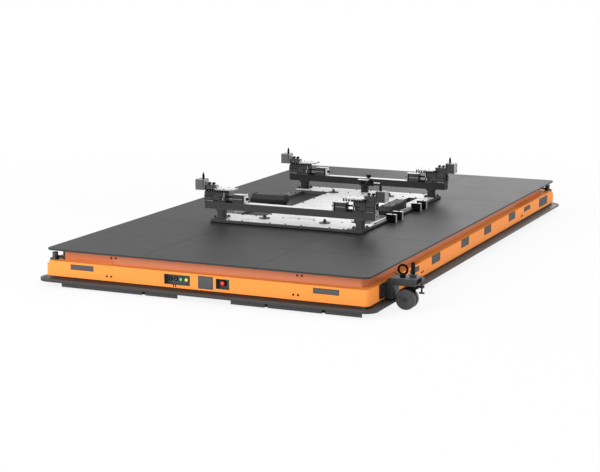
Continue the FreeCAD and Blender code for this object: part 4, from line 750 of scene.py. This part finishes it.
# Fixture base: dark frame, light strips, grey rails, dark pans, black cones and their discs
base = dict(half=(0.813, 1.168), railTop=0.380, top=0.388, rail=0.115, front=0.363, rear=0.291, left=0.315,
            right=0.150, screws=("jetBlackAndShade", 0.009, 0.005, 0.5, 10),
            frameIn=0.022, frameX=(-0.62, -0.47, -0.17, 0.0, 0.17, 0.47, 0.62),
            stripIn=0.024, stripY=(-0.7, -0.45, -0.2, 0.1, 0.4, 0.7),
            railIn=0.03, railY=(-0.72, -0.36, 0.0, 0.36, 0.72), sealOut=0.0015, sealIn=0.0005,
            sealZ=(0.350, 0.361),
            coverIn=0.652, coverDeep=0.064, coverHigh=0.003, lightX=(0.739, 0.757), lightY=(-0.800, 0.300),
            lightHigh=0.0025, milledX=(0.650, 0.788), milledY=(0.300, 0.868), milledDown=0.0005, sunk=0.001,
            coneX=0.328, cones=(-0.925, 0.856), coneReach=0.06,
            discHigh=0.008, discScrews=6, discReach=0.042, coneScrews=("groundSteel", 0.005, 0.003, 0.5, 8))


def pickBase(middle, normal):
    cone = any(max(abs(abs(middle.x) - base["coneX"]), abs(middle.y - y)) < base["coneReach"]
               for y in base["cones"])
    raised = middle.z > base["top"] + 0.0005
    if cone and raised:
        return "blackSteel"
    if normal.z > 0.7:
        if middle.z > base["top"] - 0.001:
            return "milledPlate"
        return "railGrey" if middle.z > base["railTop"] - 0.001 else "panDark"
    return "lightCapAndLitTop" if raised else "darkPaint"


def makeBase():
    dressCopy("fixture_base", ["darkPaint", "milledPlate", "railGrey", "panDark", "blackSteel", "lightCapAndLitTop"],
              pickBase, bevel=0.0012)
    halfX, halfY = base["half"]
    top, railTop, rail = base["top"], base["railTop"], base["rail"]
    spots = []
    for y in (-halfY + base["frameIn"], -halfY + base["front"] - base["frameIn"],
              halfY - base["rear"] + base["frameIn"], halfY - base["frameIn"]):
        spots += [((x, y, top), (0, 0, 1)) for x in base["frameX"]]
    for x in (-halfX + rail + base["left"] + base["stripIn"],
              halfX - rail - base["right"] - base["stripIn"]):
        spots += [((x, y, top), (0, 0, 1)) for y in base["stripY"]]
    for sx in (-1, 1):
        for x in (halfX - base["railIn"], halfX - rail + base["railIn"]):
            spots += [((sx * x, y, railTop), (0, 0, 1)) for y in base["railY"]]
    addScrews("baseScrews", "platform", spots, *base["screws"])
    # Black strip along the foot of the frame: painted shadow line
    work = bmesh.new()
    outX, outY = halfX + base["sealOut"], halfY + base["sealOut"]
    z0, z1 = base["sealZ"]
    for sign in (-1, 1):
        y0, y1 = span(sign, halfY - base["sealIn"], outY)
        addBlock(work, (-outX, y0, z0), (outX, y1, z1), 0, 0)
        x0, x1 = span(sign, halfX - base["sealIn"], outX)
        addBlock(work, (x0, -halfY, z0), (x1, halfY, z1), 0, 0)
    buildPiece("baseFootShadow", "platform", ["jetBlackAndShade"], work)
    # Dark covers on the front corners, light strip by the right duct and the milled cover behind it
    work = bmesh.new()
    sunk = base["sunk"]
    for sx in (-1, 1):
        x0, x1 = span(sx, halfX - sunk, base["coverIn"])
        addBlock(work, (x0, -halfY + sunk, top - sunk),
                 (x1, -halfY + base["coverDeep"], top + base["coverHigh"]))
    (x0, x1), (y0, y1) = base["lightX"], base["lightY"]
    addBlock(work, (x0, y0, railTop - sunk), (x1, y1, railTop + base["lightHigh"]), 1, 0)
    (x0, x1), (y0, y1) = base["milledX"], base["milledY"]
    addBlock(work, (x0, y0, railTop - sunk), (x1, y1, top - base["milledDown"]), 2)
    buildPiece("cornerCovers", "platform", ["darkPaint", "lightCapAndLitTop", "milledPlate"], work)
    # Screws in the disc of each cone
    ring = []
    for sx in (-1, 1):
        for y in base["cones"]:
            for i in range(base["discScrews"]):
                turn = math.tau * i / base["discScrews"]
                ring.append(((sx * base["coneX"] + base["discReach"] * math.cos(turn),
                              y + base["discReach"] * math.sin(turn), top + base["discHigh"]), (0, 0, 1)))
    addScrews("coneScrews", "platform", ring, *base["coneScrews"])


makeBase()
print("fixture base dressed")


# Crossbeams: dark box beams, their tops painted light as painted highlight, bolted feet and heads
# The rear beam gets a darker paint than the front one: painted shade
beam = dict(y=1.037, top=0.545, half=0.916, deep=0.090, post=0.750, footTop=0.400, bolt=0.051,
            screws=("jetBlackAndShade", 0.010, 0.009, 0.5, 12), shell=dict(front="darkPaint", rear="beamDark"))


def makeBeams():
    for end, sy in ends.items():
        shell = beam["shell"][end]
        dressCopy(f"crossbeam_{end}", [shell, "lightCapAndLitTop"],
                  lambda middle, normal: "lightCapAndLitTop" if middle.z > beam["top"] + 0.0005 else shell,
                  bevel=0.002)
        spots = []
        for sx in (-1, 1):
            for dx in (-beam["bolt"], beam["bolt"]):
                for dy in (-beam["bolt"], beam["bolt"]):
                    spots.append(((sx * beam["post"] + dx, sy * beam["y"] + dy, beam["footTop"]), (0, 0, 1)))
        addScrews(f"footBolts_{end}", "platform", spots, *beam["screws"])


makeBeams()
print("crossbeams dressed")


# Slide drives: motors with light flanges and painted-light tops, steel lead screws, black hand knobs.
# Bars on the motor's faces are x from and to, z from and to, finish and edge.
drive = dict(motorIn=0.484, motorOut=0.612, faceIn=0.0375, faceOut=0.0405,
             bars=((0.503, 0.606, 0.586, 0.591, 3, 0.0006), (0.503, 0.606, 0.560, 0.564, 0, 0.0006),
                   (0.503, 0.606, 0.569, 0.573, 0, 0.0006), (0.503, 0.606, 0.610, 0.614, 0, 0.0006),
                   (0.503, 0.606, 0.619, 0.623, 0, 0.0006), (0.4845, 0.500, 0.546, 0.632, 2, 0.001)),
             plugX=(0.462, 0.476), plugHalf=0.014, plugZ=(0.575, 0.603),
             cable=((0, 0.009), (0.010, 0.009), (0.012, 0.006)), screwZ=0.601, knobX=(0.924, 0.936),
             knobR=0.0238, knurls=24, knurlHalf=0.0011, endOut=0.922, endTop=0.650, flangeIn=0.476,
             screws=("jetBlackAndShade", 0.006, 0.005, 0.5, 10), screwY=0.036, flangeZ=(0.555, 0.629),
             endZ=(0.560, 0.636))


def pickDrive(middle, normal):
    x = abs(middle.x)
    if x > drive["endOut"] + 0.0005:
        return "blackSteel"
    if x > beam["half"] - 0.0005 and middle.z < drive["endTop"] + 0.001:
        # The front ends' faces across x are painted light: painted highlight
        return "lightGrey" if abs(normal.x) > 0.9 and middle.y < 0 else "darkMoulding"
    if x < drive["motorIn"] + 0.0005:
        # Flange light, its tops and faces across x lighter still: painted highlight
        return "lightGrey" if abs(normal.x) < 0.5 and normal.z < 0.8 else "lightCapAndLitTop"
    if x < drive["motorOut"] + 0.0005:
        # Motor tops painted light: painted highlight
        return "lightCapAndLitTop" if normal.z > 0.8 else "darkMoulding"
    return "jetBlackAndShade"


def makeDrives():
    for end, sy in ends.items():
        looks = ["darkMoulding", "lightGrey", "lightCapAndLitTop", "blackSteel", "jetBlackAndShade"]
        dressCopy(f"slide_drives_{end}", looks, pickDrive, bevel=0.0012)
        y = sy * beam["y"]
        work = bmesh.new()
        spots = []
        for sx in (-1, 1):
            for way in (-1, 1):
                near, far = span(way, drive["faceIn"], drive["faceOut"], y)
                for inner, outer, z0, z1, slot, edge in drive["bars"]:
                    x0, x1 = span(sx, inner, outer)
                    addBlock(work, (x0, near, z0), (x1, far, z1), slot, edge)
                spots += [((sx * drive["flangeIn"], y + way * drive["screwY"], z), (-sx, 0, 0))
                          for z in drive["flangeZ"]]
                spots += [((sx * drive["endOut"], y + way * drive["screwY"], z), (sx, 0, 0))
                          for z in drive["endZ"]]
            # Plug on the motor's inner end
            x0, x1 = span(sx, *drive["plugX"])
            z0, z1 = drive["plugZ"]
            addBlock(work, (x0, y - drive["plugHalf"], z0), (x1, y + drive["plugHalf"], z1), 2, 0.002)
            addTurned(work, (sx * drive["plugX"][0], y, (z0 + z1) / 2), (-sx, 0, 0), drive["cable"], 2, 16)
            # Knurled rim of the hand knob
            x0, x1 = span(sx, *drive["knobX"])
            half = drive["knurlHalf"]
            for i in range(drive["knurls"]):
                turn = math.tau * i / drive["knurls"]
                cy = y + drive["knobR"] * math.cos(turn)
                cz = drive["screwZ"] + drive["knobR"] * math.sin(turn)
                addBlock(work, (x0, cy - half, cz - half), (x1, cy + half, cz + half), 2, 0)
        buildPiece(f"driveTrim_{end}", "platform", ["darkPaint", "lightCapAndLitTop", "jetBlackAndShade", "lightGrey"], work)
        addScrews(f"driveScrews_{end}", "platform", spots, *drive["screws"])


makeDrives()
print("slide drives dressed")


# Pin carriages: dark saddle with slots, light table, black comb, arm with knobs, block and pin.
# Plates on the saddle's faces are x from and to, z from and to, depth from and to, finish and edge.
carriage = dict(inner=0.690, top=0.672, deep=0.096, tableOut=0.800, tableTop=0.684, armTop=0.710,
                pinX=0.956, blockIn=0.032, blockOut=0.065, blockHalf=0.054, blockLow=0.660, blockTop=0.765,
                # The left blocks painted lighter than the right ones: painted light
                blockLook=dict(left="castGrey", right="darkPaint"),
                # The black plates stand for the saddle's slots: painted shade
                plates=((0.702, 0.822, 0.556, 0.632, -0.0005, 0.0040, 0, 0.0015),
                        (0.712, 0.760, 0.596, 0.607, 0.0035, 0.0052, 1, 0.0005),
                        (0.724, 0.750, 0.568, 0.580, 0.0035, 0.0052, 1, 0.0005),
                        (0.772, 0.800, 0.556, 0.568, 0.0035, 0.0052, 1, 0.0005),
                        (0.826, 0.872, 0.603, 0.611, -0.0005, 0.0012, 1, 0.0005),
                        (0.886, 0.912, 0.604, 0.612, -0.0005, 0.0012, 1, 0.0005),
                        (0.694, 0.703, 0.600, 0.650, -0.0005, 0.0100, 2, 0.0015),
                        (0.706, 0.716, 0.566, 0.600, -0.0005, 0.0100, 2, 0.0015),
                        (0.826, 0.908, 0.568, 0.596, -0.0005, 0.0060, 0, 0.0020),
                        (0.826, 0.908, 0.556, 0.562, -0.0005, 0.0060, 2, 0.0015)),
                stopX=(0.913, 0.924), stopHalf=0.030, stopZ=(0.590, 0.640),
                comb=dict(left=0.655, right=0.590), combFirst=0.0195, combPitch=0.028, combTeeth=8,
                combHalf=0.0055, combDeep=0.004, combZ=(0.6525, 0.6785), knobs=(0.838, 0.884),
                knob=((0, 0.007), (0.010, 0.007), (0.011, 0.0145), (0.014, 0.016), (0.025, 0.016),
                      (0.028, 0.0135)),
                nutX=(0.852, 0.870), nutHalf=0.010, nutHigh=0.015, lever=(0.905, 0.012),
                leverPost=((0, 0.005), (0.017, 0.005), (0.018, 0.004)), leverHigh=0.012,
                leverArm=((-0.006, 0.003), (0.034, 0.0025), (0.036, 0.006), (0.046, 0.006), (0.048, 0.003)),
                scaleX=(0.604, 0.796), scaleY=(-0.0705, -0.0695), slitX=(0.929, 0.936), slitLow=0.694,
                screws=("jetBlackAndShade", 0.0055, 0.004, 0.5, 10), tableScrewX=(0.618, 0.700, 0.782),
                tableScrewY=0.055, plateScrewX=(0.708, 0.816), plateScrewZ=(0.562, 0.626), slitScrewY=0.032,
                slitScrewZ=(0.685, 0.740), blockScrewX=(-0.018, 0.050), blockScrewY=0.040)


def pickCarriage(middle, normal, blockLook):
    x = abs(middle.x)
    if middle.z > carriage["blockTop"] + 0.0005:
        return "jetBlackAndShade"
    if x > carriage["pinX"] - carriage["blockIn"] - 0.0005 and middle.z > carriage["blockLow"] - 0.001:
        # The block's top and faces across x painted light: painted highlight
        return "lightGrey" if abs(normal.x) > 0.9 or normal.z > 0.9 else blockLook
    past = carriage["deep"] / 2 + 0.001
    comb = beam["y"] - abs(middle.y) > past or middle.y < -beam["y"] - past
    if comb and middle.z < carriage["top"] + 0.011:
        return "jetBlackAndShade"
    if middle.z > carriage["top"] + 0.0005 and x < carriage["tableOut"] + 0.001:
        # The table's top painted lighter than its sides: painted highlight
        return "lightCapAndLitTop" if normal.z > 0.7 else "lightGrey"
    return "darkPaint"


def carriageTrim(side, sx, y):
    # The trim of one carriage, as the start of its mesh
    work = bmesh.new()
    half, armTop = carriage["deep"] / 2, carriage["armTop"]

    def block(across, along, upright, slot, edge=0.001):
        (x0, x1), (y0, y1), (z0, z1) = span(sx, *across), along, upright
        addBlock(work, (x0, y + y0, z0), (x1, y + y1, z1), slot, edge)

    # Rubber stop on the saddle's outer end
    block(carriage["stopX"], (-carriage["stopHalf"], carriage["stopHalf"]), carriage["stopZ"], 1, 0.002)
    for way in (-1, 1):
        for x0, x1, z0, z1, near, far, slot, edge in carriage["plates"]:
            block((x0, x1), span(way, half + near, half + far), (z0, z1), slot, edge)
    # Light face seen between the comb's teeth
    for i in range(carriage["combTeeth"]):
        middle = carriage["comb"][side] + carriage["combFirst"] + carriage["combPitch"] * i
        if middle > carriage["inner"]:
            block((middle - carriage["combHalf"], middle + carriage["combHalf"]),
                  (-half - carriage["combDeep"], -half + 0.0005), carriage["combZ"], 4, 0)
    # Two clamp knobs with a light nut between them on the arm, and the lever beside them
    for x in carriage["knobs"]:
        addTurned(work, (sx * x, y, armTop - 0.001), (0, 0, 1), carriage["knob"], 1, 18)
    block(carriage["nutX"], (-carriage["nutHalf"], carriage["nutHalf"]),
          (armTop - 0.001, armTop + carriage["nutHigh"]), 2)
    leverX, leverY = carriage["lever"]
    addTurned(work, (sx * leverX, y + leverY, armTop - 0.001), (0, 0, 1), carriage["leverPost"], 1, 12)
    addTurned(work, (sx * leverX, y + leverY, armTop + carriage["leverHigh"]), (sx * 0.3, -0.9, 0.25),
              carriage["leverArm"], 1, 12)
    # Scale strip along the table's edge
    block(carriage["scaleX"], carriage["scaleY"],
          (carriage["top"] + 0.001, carriage["tableTop"] - 0.001), 2, 0)
    # Slit of the block, a black strip on its faces: painted shade in the slit
    for way in (-1, 1):
        block(carriage["slitX"], span(way, carriage["blockHalf"] - 0.0005, carriage["blockHalf"] + 0.0004),
              (carriage["slitLow"], carriage["blockTop"] - 0.001), 1, 0)
    return work


def carriageSpots(sx, y):
    face = carriage["deep"] / 2 + 0.004
    spots = []
    for way in (-1, 1):
        spots += [((sx * x, y + way * carriage["tableScrewY"], carriage["tableTop"]), (0, 0, 1))
                  for x in carriage["tableScrewX"]]
        spots += [((sx * x, y + way * face, z), (0, way, 0))
                  for x in carriage["plateScrewX"] for z in carriage["plateScrewZ"]]
        spots += [((sx * (carriage["pinX"] + dx), y + way * carriage["blockScrewY"], carriage["blockTop"]),
                   (0, 0, 1)) for dx in carriage["blockScrewX"]]
    # Two screws close the slit
    spots += [((sx * (carriage["pinX"] + carriage["blockOut"]), y + carriage["slitScrewY"], z), (sx, 0, 0))
              for z in carriage["slitScrewZ"]]
    return spots


def makeCarriages():
    looks = ["darkPaint", "lightGrey", "jetBlackAndShade", "lightCapAndLitTop", "castGrey"]
    trimLooks = ["darkMoulding", "jetBlackAndShade", "lightGrey", "lightCapAndLitTop", "castGrey"]
    for end, sy in ends.items():
        for side, sx in sides.items():
            name = f"{end}_{side}"
            blockLook = carriage["blockLook"][side]
            dressCopy(f"pin_carriage_{name}", looks,
                      lambda middle, normal: pickCarriage(middle, normal, blockLook), bevel=0.0012)
            y = sy * beam["y"]
            buildPiece(f"carriageTrim_{name}", f"carriage_{name}", trimLooks, carriageTrim(side, sx, y))
            addScrews(f"carriageScrews_{name}", f"carriage_{name}", carriageSpots(sx, y),
                      *carriage["screws"])


makeCarriages()
print("carriages dressed")


# Middle post at the rear, ducts and edge clamps.
# Blocks on the post's head are x from and to, depth from and to, z from and to, finish and edge.
fitting = dict(headDeep=0.020, capFrom=0.101, knobAt=(0.020, -0.010, 0.5485),
               knob=((0, 0.016), (0.008, 0.016), (0.010, 0.026), (0.014, 0.030), (0.030, 0.030),
                     (0.036, 0.022)),
               blocks=((-0.050, -0.006, -0.008, 0.0005, 0.484, 0.518, 0, 0.002),
                       (0.014, 0.086, -0.006, 0.0005, 0.478, 0.494, 0, 0.002),
                       (-0.082, 0.044, -0.010, 0.0195, 0.531, 0.541, 1, 0.001),
                       (0.040, 0.096, -0.004, 0.0195, 0.500, 0.5325, 0, 0.002)),
               clampTop=0.43, clampScrew=0.012, ductIn=(0.02, 0.075),
               screws=("jetBlackAndShade", 0.008, 0.006, 0.5, 12))


def pickPedestal(middle, normal):
    # Faces that look up painted light: painted highlight
    return "lightCapAndLitTop" if middle.x > fitting["capFrom"] or normal.z > 0.8 else "beamDark"


def pickClamp(middle, normal):
    # Tops and faces across x painted lighter than the rest: painted light
    if normal.z > 0.8 and middle.z > fitting["clampTop"]:
        return "lightCapAndLitTop"
    return "lightGrey" if abs(normal.x) > 0.8 else "jetBlackAndShade"


def ductSpots(low, high, middleRow):
    # Screws along both edges of a duct's top, from its box
    edge, front = fitting["ductIn"]
    rows = [low.y + front, high.y - edge]
    if middleRow:
        rows.append((low.y + high.y) / 2)
    return [((x, y, high.z), (0, 0, 1)) for x in (low.x + edge, high.x - edge) for y in rows]


def makeFittings():
    dressCopy("centre_pedestal", ["beamDark", "lightCapAndLitTop"], pickPedestal, bevel=0.0015)
    work = bmesh.new()
    x, depth, z = fitting["knobAt"]
    addTurned(work, (x, beam["y"] + depth, z), (0, 0, 1), fitting["knob"], 0, 22)
    head = beam["y"] - beam["deep"] / 2 - fitting["headDeep"]
    for x0, x1, near, far, z0, z1, slot, edge in fitting["blocks"]:
        addBlock(work, (x0, head + near, z0), (x1, head + far, z1), slot, edge)
    buildPiece("pedestalTrim", "platform", ["jetBlackAndShade", "lightCapAndLitTop"], work)
    for name in ("duct_left", "duct_right"):
        # Duct tops a little lighter than their sides: painted light
        dressCopy(name, ["beamDark", "panDark"],
                  lambda middle, normal: "panDark" if normal.z > 0.8 else "beamDark",
                  bevel=0.003, segments=3)
    dressCopy("edge_clamps", ["jetBlackAndShade", "lightCapAndLitTop", "lightGrey"], pickClamp, bevel=0.0015)
    low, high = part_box("duct_left")
    spots = ductSpots(low, high, False)
    low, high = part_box("duct_right")
    spots += ductSpots(low, high, True)
    for low, high in looseParts(nodes["edge_clamps"].data):
        middle = (low + high) / 2
        spots.append(((middle.x + fitting["clampScrew"], middle.y, high.z), (0, 0, 1)))
    addScrews("fittingScrews", "platform", spots, *fitting["screws"])


makeFittings()
print("fittings dressed")


# Laser scanners: ribbed dark housing with a scan window round its head
scanner = dict(inset=(0.060, 0.074), bandLow=0.279,
               band=((0, 0.0255), (0.0, 0.0268), (0.017, 0.0268), (0.017, 0.0255)), ribs=10, ribReach=0.0255,
               ribLow=0.268, rib=((0, 0.0012), (0.009, 0.0012), (0.010, 0.0006)))


def makeScanners():
    reach = scanner["ribReach"]
    for name, sign in (("front_left", -1), ("rear_right", 1)):
        dressCopy(f"laser_scanner_{name}", ["blackSteel"], bevel=0.0008)
        x, y = [sign * (wall - inset) for wall, inset in zip(skin["wall"], scanner["inset"])]
        work = bmesh.new()
        addTurned(work, (x, y, scanner["bandLow"]), (0, 0, 1), scanner["band"], 0, 32)
        for i in range(scanner["ribs"]):
            turn = math.tau * i / scanner["ribs"]
            addTurned(work, (x + reach * math.cos(turn), y + reach * math.sin(turn), scanner["ribLow"]),
                      (0, 0, 1), scanner["rib"], 1, 6)
        buildPiece(f"scanWindow_{name}", "platform", ["sensorWindow", "darkMoulding"], work)


makeScanners()
print("scanners dressed")


# Rescue caster: black arm and plate, threaded jack, thick eye, twin grooved wheels
rescue = dict(y=-2.500, wall=1.600, plate=0.017, armTop=0.26, jackX=1.826, jackR=0.018,
              thread=(0.318, 0.403), pitch=0.007, ridge=0.0016, axleX=1.775, axleZ=0.090, wheelR=0.090,
              wheelWide=0.040, webHalf=0.010, gap=0.002, grooves=30, grooveIn=0.0012,
              grooveHalf=0.0011, grooveReach=0.013, hubIn=0.001,
              hub=((0, 0.0235), (0.002, 0.0235), (0.0035, 0.021), (0.0035, 0.0135), (0.0015, 0.012)),
              marks=(0.5, 0.62, 2.6, 2.72, 4.7, 4.82), markReach=0.055, markHalf=0.004,
              markIn=(0.005, 0.0025), latchAt=(1.718, -2.530, 0.297), latchWay=(-1, 0, 0.45),
              latch=((0, 0.005), (0.034, 0.004), (0.036, 0.008), (0.050, 0.008), (0.053, 0.004)),
              ribX=(0.0155, 0.0195), ribY=(0.1370, 0.1450), ribZ=(0.122, 0.234), boltX=0.016, boltY=0.190,
              boltZ=(0.140, 0.216), bolts=("darkMoulding", 0.011, 0.009, 0.5, 12))


def pickArm(middle, normal):
    if middle.x < rescue["wall"] + rescue["plate"]:
        return "blackSteel"
    # The arm's top faces painted lighter: painted highlight
    return "armTop" if normal.z > 0.9 and middle.z > rescue["armTop"] else "darkPaint"


def addHelix(work, centre, radius, low, high, pitch, ridge, sides=20):
    # Thread ridge round a vertical screw
    profile = ((radius - 0.0004, -ridge), (radius + ridge * 0.8, 0.0), (radius - 0.0004, ridge))
    loops = []
    for k in range(int((high - low) / pitch * sides) + 1):
        angle = math.tau * k / sides
        z = low + pitch * k / sides
        loops.append([work.verts.new((centre[0] + r * math.cos(angle), centre[1] + r * math.sin(angle),
                                      z + rise)) for r, rise in profile])
    joinLoops(work, loops)
    work.faces.new(loops[0])
    work.faces.new(loops[-1])


def addWheelTrim(work, sign):
    # Tread grooves as black strips (painted shade in the grooves), hub cap and mould marks of one wheel
    inner = rescue["webHalf"] + rescue["gap"]
    middle = rescue["y"] + sign * (inner + rescue["wheelWide"] / 2)
    outer = rescue["y"] + sign * (inner + rescue["wheelWide"])
    reach, half, deep = rescue["wheelR"] - rescue["grooveIn"], rescue["grooveHalf"], rescue["grooveReach"]
    for i in range(rescue["grooves"]):
        turn = math.tau * i / rescue["grooves"]
        cx, cz = rescue["axleX"] + reach * math.cos(turn), rescue["axleZ"] + reach * math.sin(turn)
        addBlock(work, (cx - half, middle - deep, cz - half), (cx + half, middle + deep, cz + half), 0, 0)
    addTurned(work, (rescue["axleX"], outer - sign * rescue["hubIn"], rescue["axleZ"]), (0, sign, 0),
              rescue["hub"], 1, 28)
    reach, half = rescue["markReach"], rescue["markHalf"]
    y0, y1 = span(-sign, *rescue["markIn"], outer)
    for turn in rescue["marks"]:
        cx, cz = rescue["axleX"] + reach * math.cos(turn), rescue["axleZ"] + reach * math.sin(turn)
        addBlock(work, (cx - half, y0, cz - half), (cx + half, y1, cz + half), 1)


def makeRescue():
    dressCopy("rescue_arm", ["blackSteel", "darkPaint", "armTop"], pickArm, bevel=0.003, segments=3)
    for node, look, bevel in (("jack_screw", "jetBlackAndShade", 0.001), ("lifting_eye", "jetBlackAndShade", 0),
                              ("clamp_screw", "blackSteel", 0.001), ("rescue_fork", "jetBlackAndShade", 0.001),
                              ("rescue_wheels", "tyreRubber", 0.0015)):
        dressCopy(node, [look], bevel=bevel)
    work = bmesh.new()
    addHelix(work, (rescue["jackX"], rescue["y"]), rescue["jackR"], *rescue["thread"], rescue["pitch"],
             rescue["ridge"])
    buildPiece("jackThread", "jack", ["beamDark"], work, 50)
    # These turn with the wheels
    work = bmesh.new()
    for sign in (-1, 1):
        addWheelTrim(work, sign)
    buildPiece("wheelTread", "rescue_rollers", ["blackGasket", "darkMoulding"], work)
    # Small latch lever by the eye, ribs beside the arm and the bolts of its plate
    work = bmesh.new()
    addTurned(work, rescue["latchAt"], rescue["latchWay"], rescue["latch"], 0, 12)
    x0, x1 = [rescue["wall"] + x for x in rescue["ribX"]]
    z0, z1 = rescue["ribZ"]
    for sign in (-1, 1):
        y0, y1 = span(sign, *rescue["ribY"], rescue["y"])
        addBlock(work, (x0, y0, z0), (x1, y1, z1), 1)
    buildPiece("rescueTrim", "platform", ["blackSteel", "darkMoulding"], work)
    spots = [((rescue["wall"] + rescue["boltX"], rescue["y"] + sign * rescue["boltY"], z), (1, 0, 0))
             for sign in (-1, 1) for z in rescue["boltZ"]]
    addScrews("rescueBolts", "platform", spots, *rescue["bolts"])


makeRescue()
print("rescue caster dressed")


# The rest keeps its CAD mesh and gets its finish
nodeFinish = [("caster_wheel", "tyreRubber"), ("drive_wheel", "tyreRubber"),
              ("battery_pack", "darkMoulding"), ("caster_fork", "groundSteel"), ("", "darkPaint")]
for name, obj in nodes.items():
    finish = next(look for start, look in nodeFinish if name.startswith(start))
    obj.data.materials.clear()
    obj.data.materials.append(materials[finish])
print("finishes on the remaining nodes")


# Floor, backdrop light and lamps
studio = dict(floorHalf=60.0, floorColour=0.86, worldStrength=0.70, cameraWhite=1.0,
              whiteNear=0.86, fadeFrom=3.5, fadeTo=8.0,
              keyPower=1200.0, keySize=9.0, keyPlace=(-5.0, -13.0, 5.0),
              topPower=200.0, topSize=12.0, topPlace=(1.0, 2.0, 10.0),
              rimPower=560.0, rimSize=11.0, rimPlace=(-0.8, 18.5, 5.6),
              sidePower=420.0, sideSize=7.0, sidePlace=(14.0, 2.0, 5.0))


def seenDirectly(tree):
    # 1 for what the camera, a reflection or glass sees, 0 for light on the object
    ray = addNode(tree, "ShaderNodeLightPath", (-900, 0))
    first = addNode(tree, "ShaderNodeMath", (-700, 0), operation="MAXIMUM")
    both = addNode(tree, "ShaderNodeMath", (-500, 0), operation="MAXIMUM")
    wire(tree, (ray, "Is Camera Ray", first, 0), (ray, "Is Glossy Ray", first, 1),
               (first, "Value", both, 0), (ray, "Is Transmission Ray", both, 1))
    return both.outputs["Value"]


def makeFloor():
    mesh = bpy.data.meshes.new("studioFloor")
    half = studio["floorHalf"]
    corners = [(-half, -half, 0), (half, -half, 0), (half, half, 0), (-half, half, 0)]
    mesh.from_pydata(corners, [], [(0, 1, 2, 3)])
    floor = bpy.data.objects.new("studioFloor", mesh)
    bpy.context.scene.collection.objects.link(floor)
    material = bpy.data.materials.new("paleFloor")
    material.use_nodes = True
    tree = material.node_tree
    tree.nodes.clear()
    output = addNode(tree, "ShaderNodeOutputMaterial", (700, 0))
    matt = addNode(tree, "ShaderNodeBsdfDiffuse", (0, -100), {"Color": (*[studio["floorColour"]] * 3, 1)})
    glow = addNode(tree, "ShaderNodeEmission", (0, 100))
    mix = addNode(tree, "ShaderNodeMixShader", (300, 0))
    # White everywhere, with a soft shadow kept round the object
    coords = addNode(tree, "ShaderNodeTexCoord", (-800, 300))
    away = addNode(tree, "ShaderNodeVectorMath", (-600, 300), operation="LENGTH")
    white = addNode(tree, "ShaderNodeMapRange", (-400, 300),
                    {"From Min": studio["fadeFrom"], "From Max": studio["fadeTo"],
                     "To Min": studio["whiteNear"]})
    share = addNode(tree, "ShaderNodeMath", (0, 250), operation="MULTIPLY")
    wire(tree, (coords, "Object", away, 0), (away, "Value", white, "Value"))
    link(tree, seenDirectly(tree), share.inputs[0])
    wire(tree, (white, "Result", share, 1), (share, "Value", mix, "Fac"), (matt, "BSDF", mix, 1),
               (glow, "Emission", mix, 2))
    # Clear from below, so that the underside can be seen
    facing = addNode(tree, "ShaderNodeNewGeometry", (300, 300))
    clear = addNode(tree, "ShaderNodeBsdfTransparent", (300, -200))
    side = addNode(tree, "ShaderNodeMixShader", (500, 0))
    wire(tree, (facing, "Backfacing", side, "Fac"), (mix, "Shader", side, 1), (clear, "BSDF", side, 2),
               (side, "Shader", output, "Surface"))
    mesh.materials.append(material)


def makeWorld():
    world = bpy.data.worlds.new("paleRoom")
    bpy.context.scene.world = world
    world.use_nodes = True
    tree = world.node_tree
    backdrop = tree.nodes["Background"]
    level = addNode(tree, "ShaderNodeMapRange", (-200, 0),
                    {"To Min": studio["worldStrength"], "To Max": studio["cameraWhite"]})
    link(tree, seenDirectly(tree), level.inputs["Value"])
    wire(tree, (level, "Result", backdrop, "Strength"))
    backdrop.inputs["Color"].default_value = (1, 1, 1, 1)


def makeLamp(name, target):
    light = bpy.data.lights.new(name + "Lamp", "AREA")
    light.energy = studio[name + "Power"]
    light.size = studio[name + "Size"]
    lamp = bpy.data.objects.new(name + "Lamp", light)
    bpy.context.scene.collection.objects.link(lamp)
    place = Vector(studio[name + "Place"])
    lamp.location = place
    lamp.rotation_euler = (Vector(target) - place).to_track_quat("-Z", "Y").to_euler()


makeFloor()
makeWorld()
for lampName, target in (("key", (0, -2, 0.2)), ("top", (0, 0, 0.3)), ("rim", (0, 0, 0.3)),
                         ("side", (0, 0, 0.3))):
    makeLamp(lampName, target)
print("studio lit")


# Camera solved from the deck's edges, the windows and the pins
view = dict(lens=95.20, place=(6.3683, -15.1049, 3.1735), pitch=10.712, yaw=23.985)
camera = bpy.data.objects.new("photoCamera", bpy.data.cameras.new("photoCamera"))
bpy.context.scene.collection.objects.link(camera)
camera.data.lens = view["lens"]
camera.data.sensor_width = 36.0
camera.data.clip_end = 300.0
camera.location = view["place"]
camera.rotation_euler = (math.radians(90 - view["pitch"]), 0, math.radians(view["yaw"]))
bpy.context.scene.camera = camera
bpy.context.scene.view_settings.view_transform = "Standard"
print("camera placed")
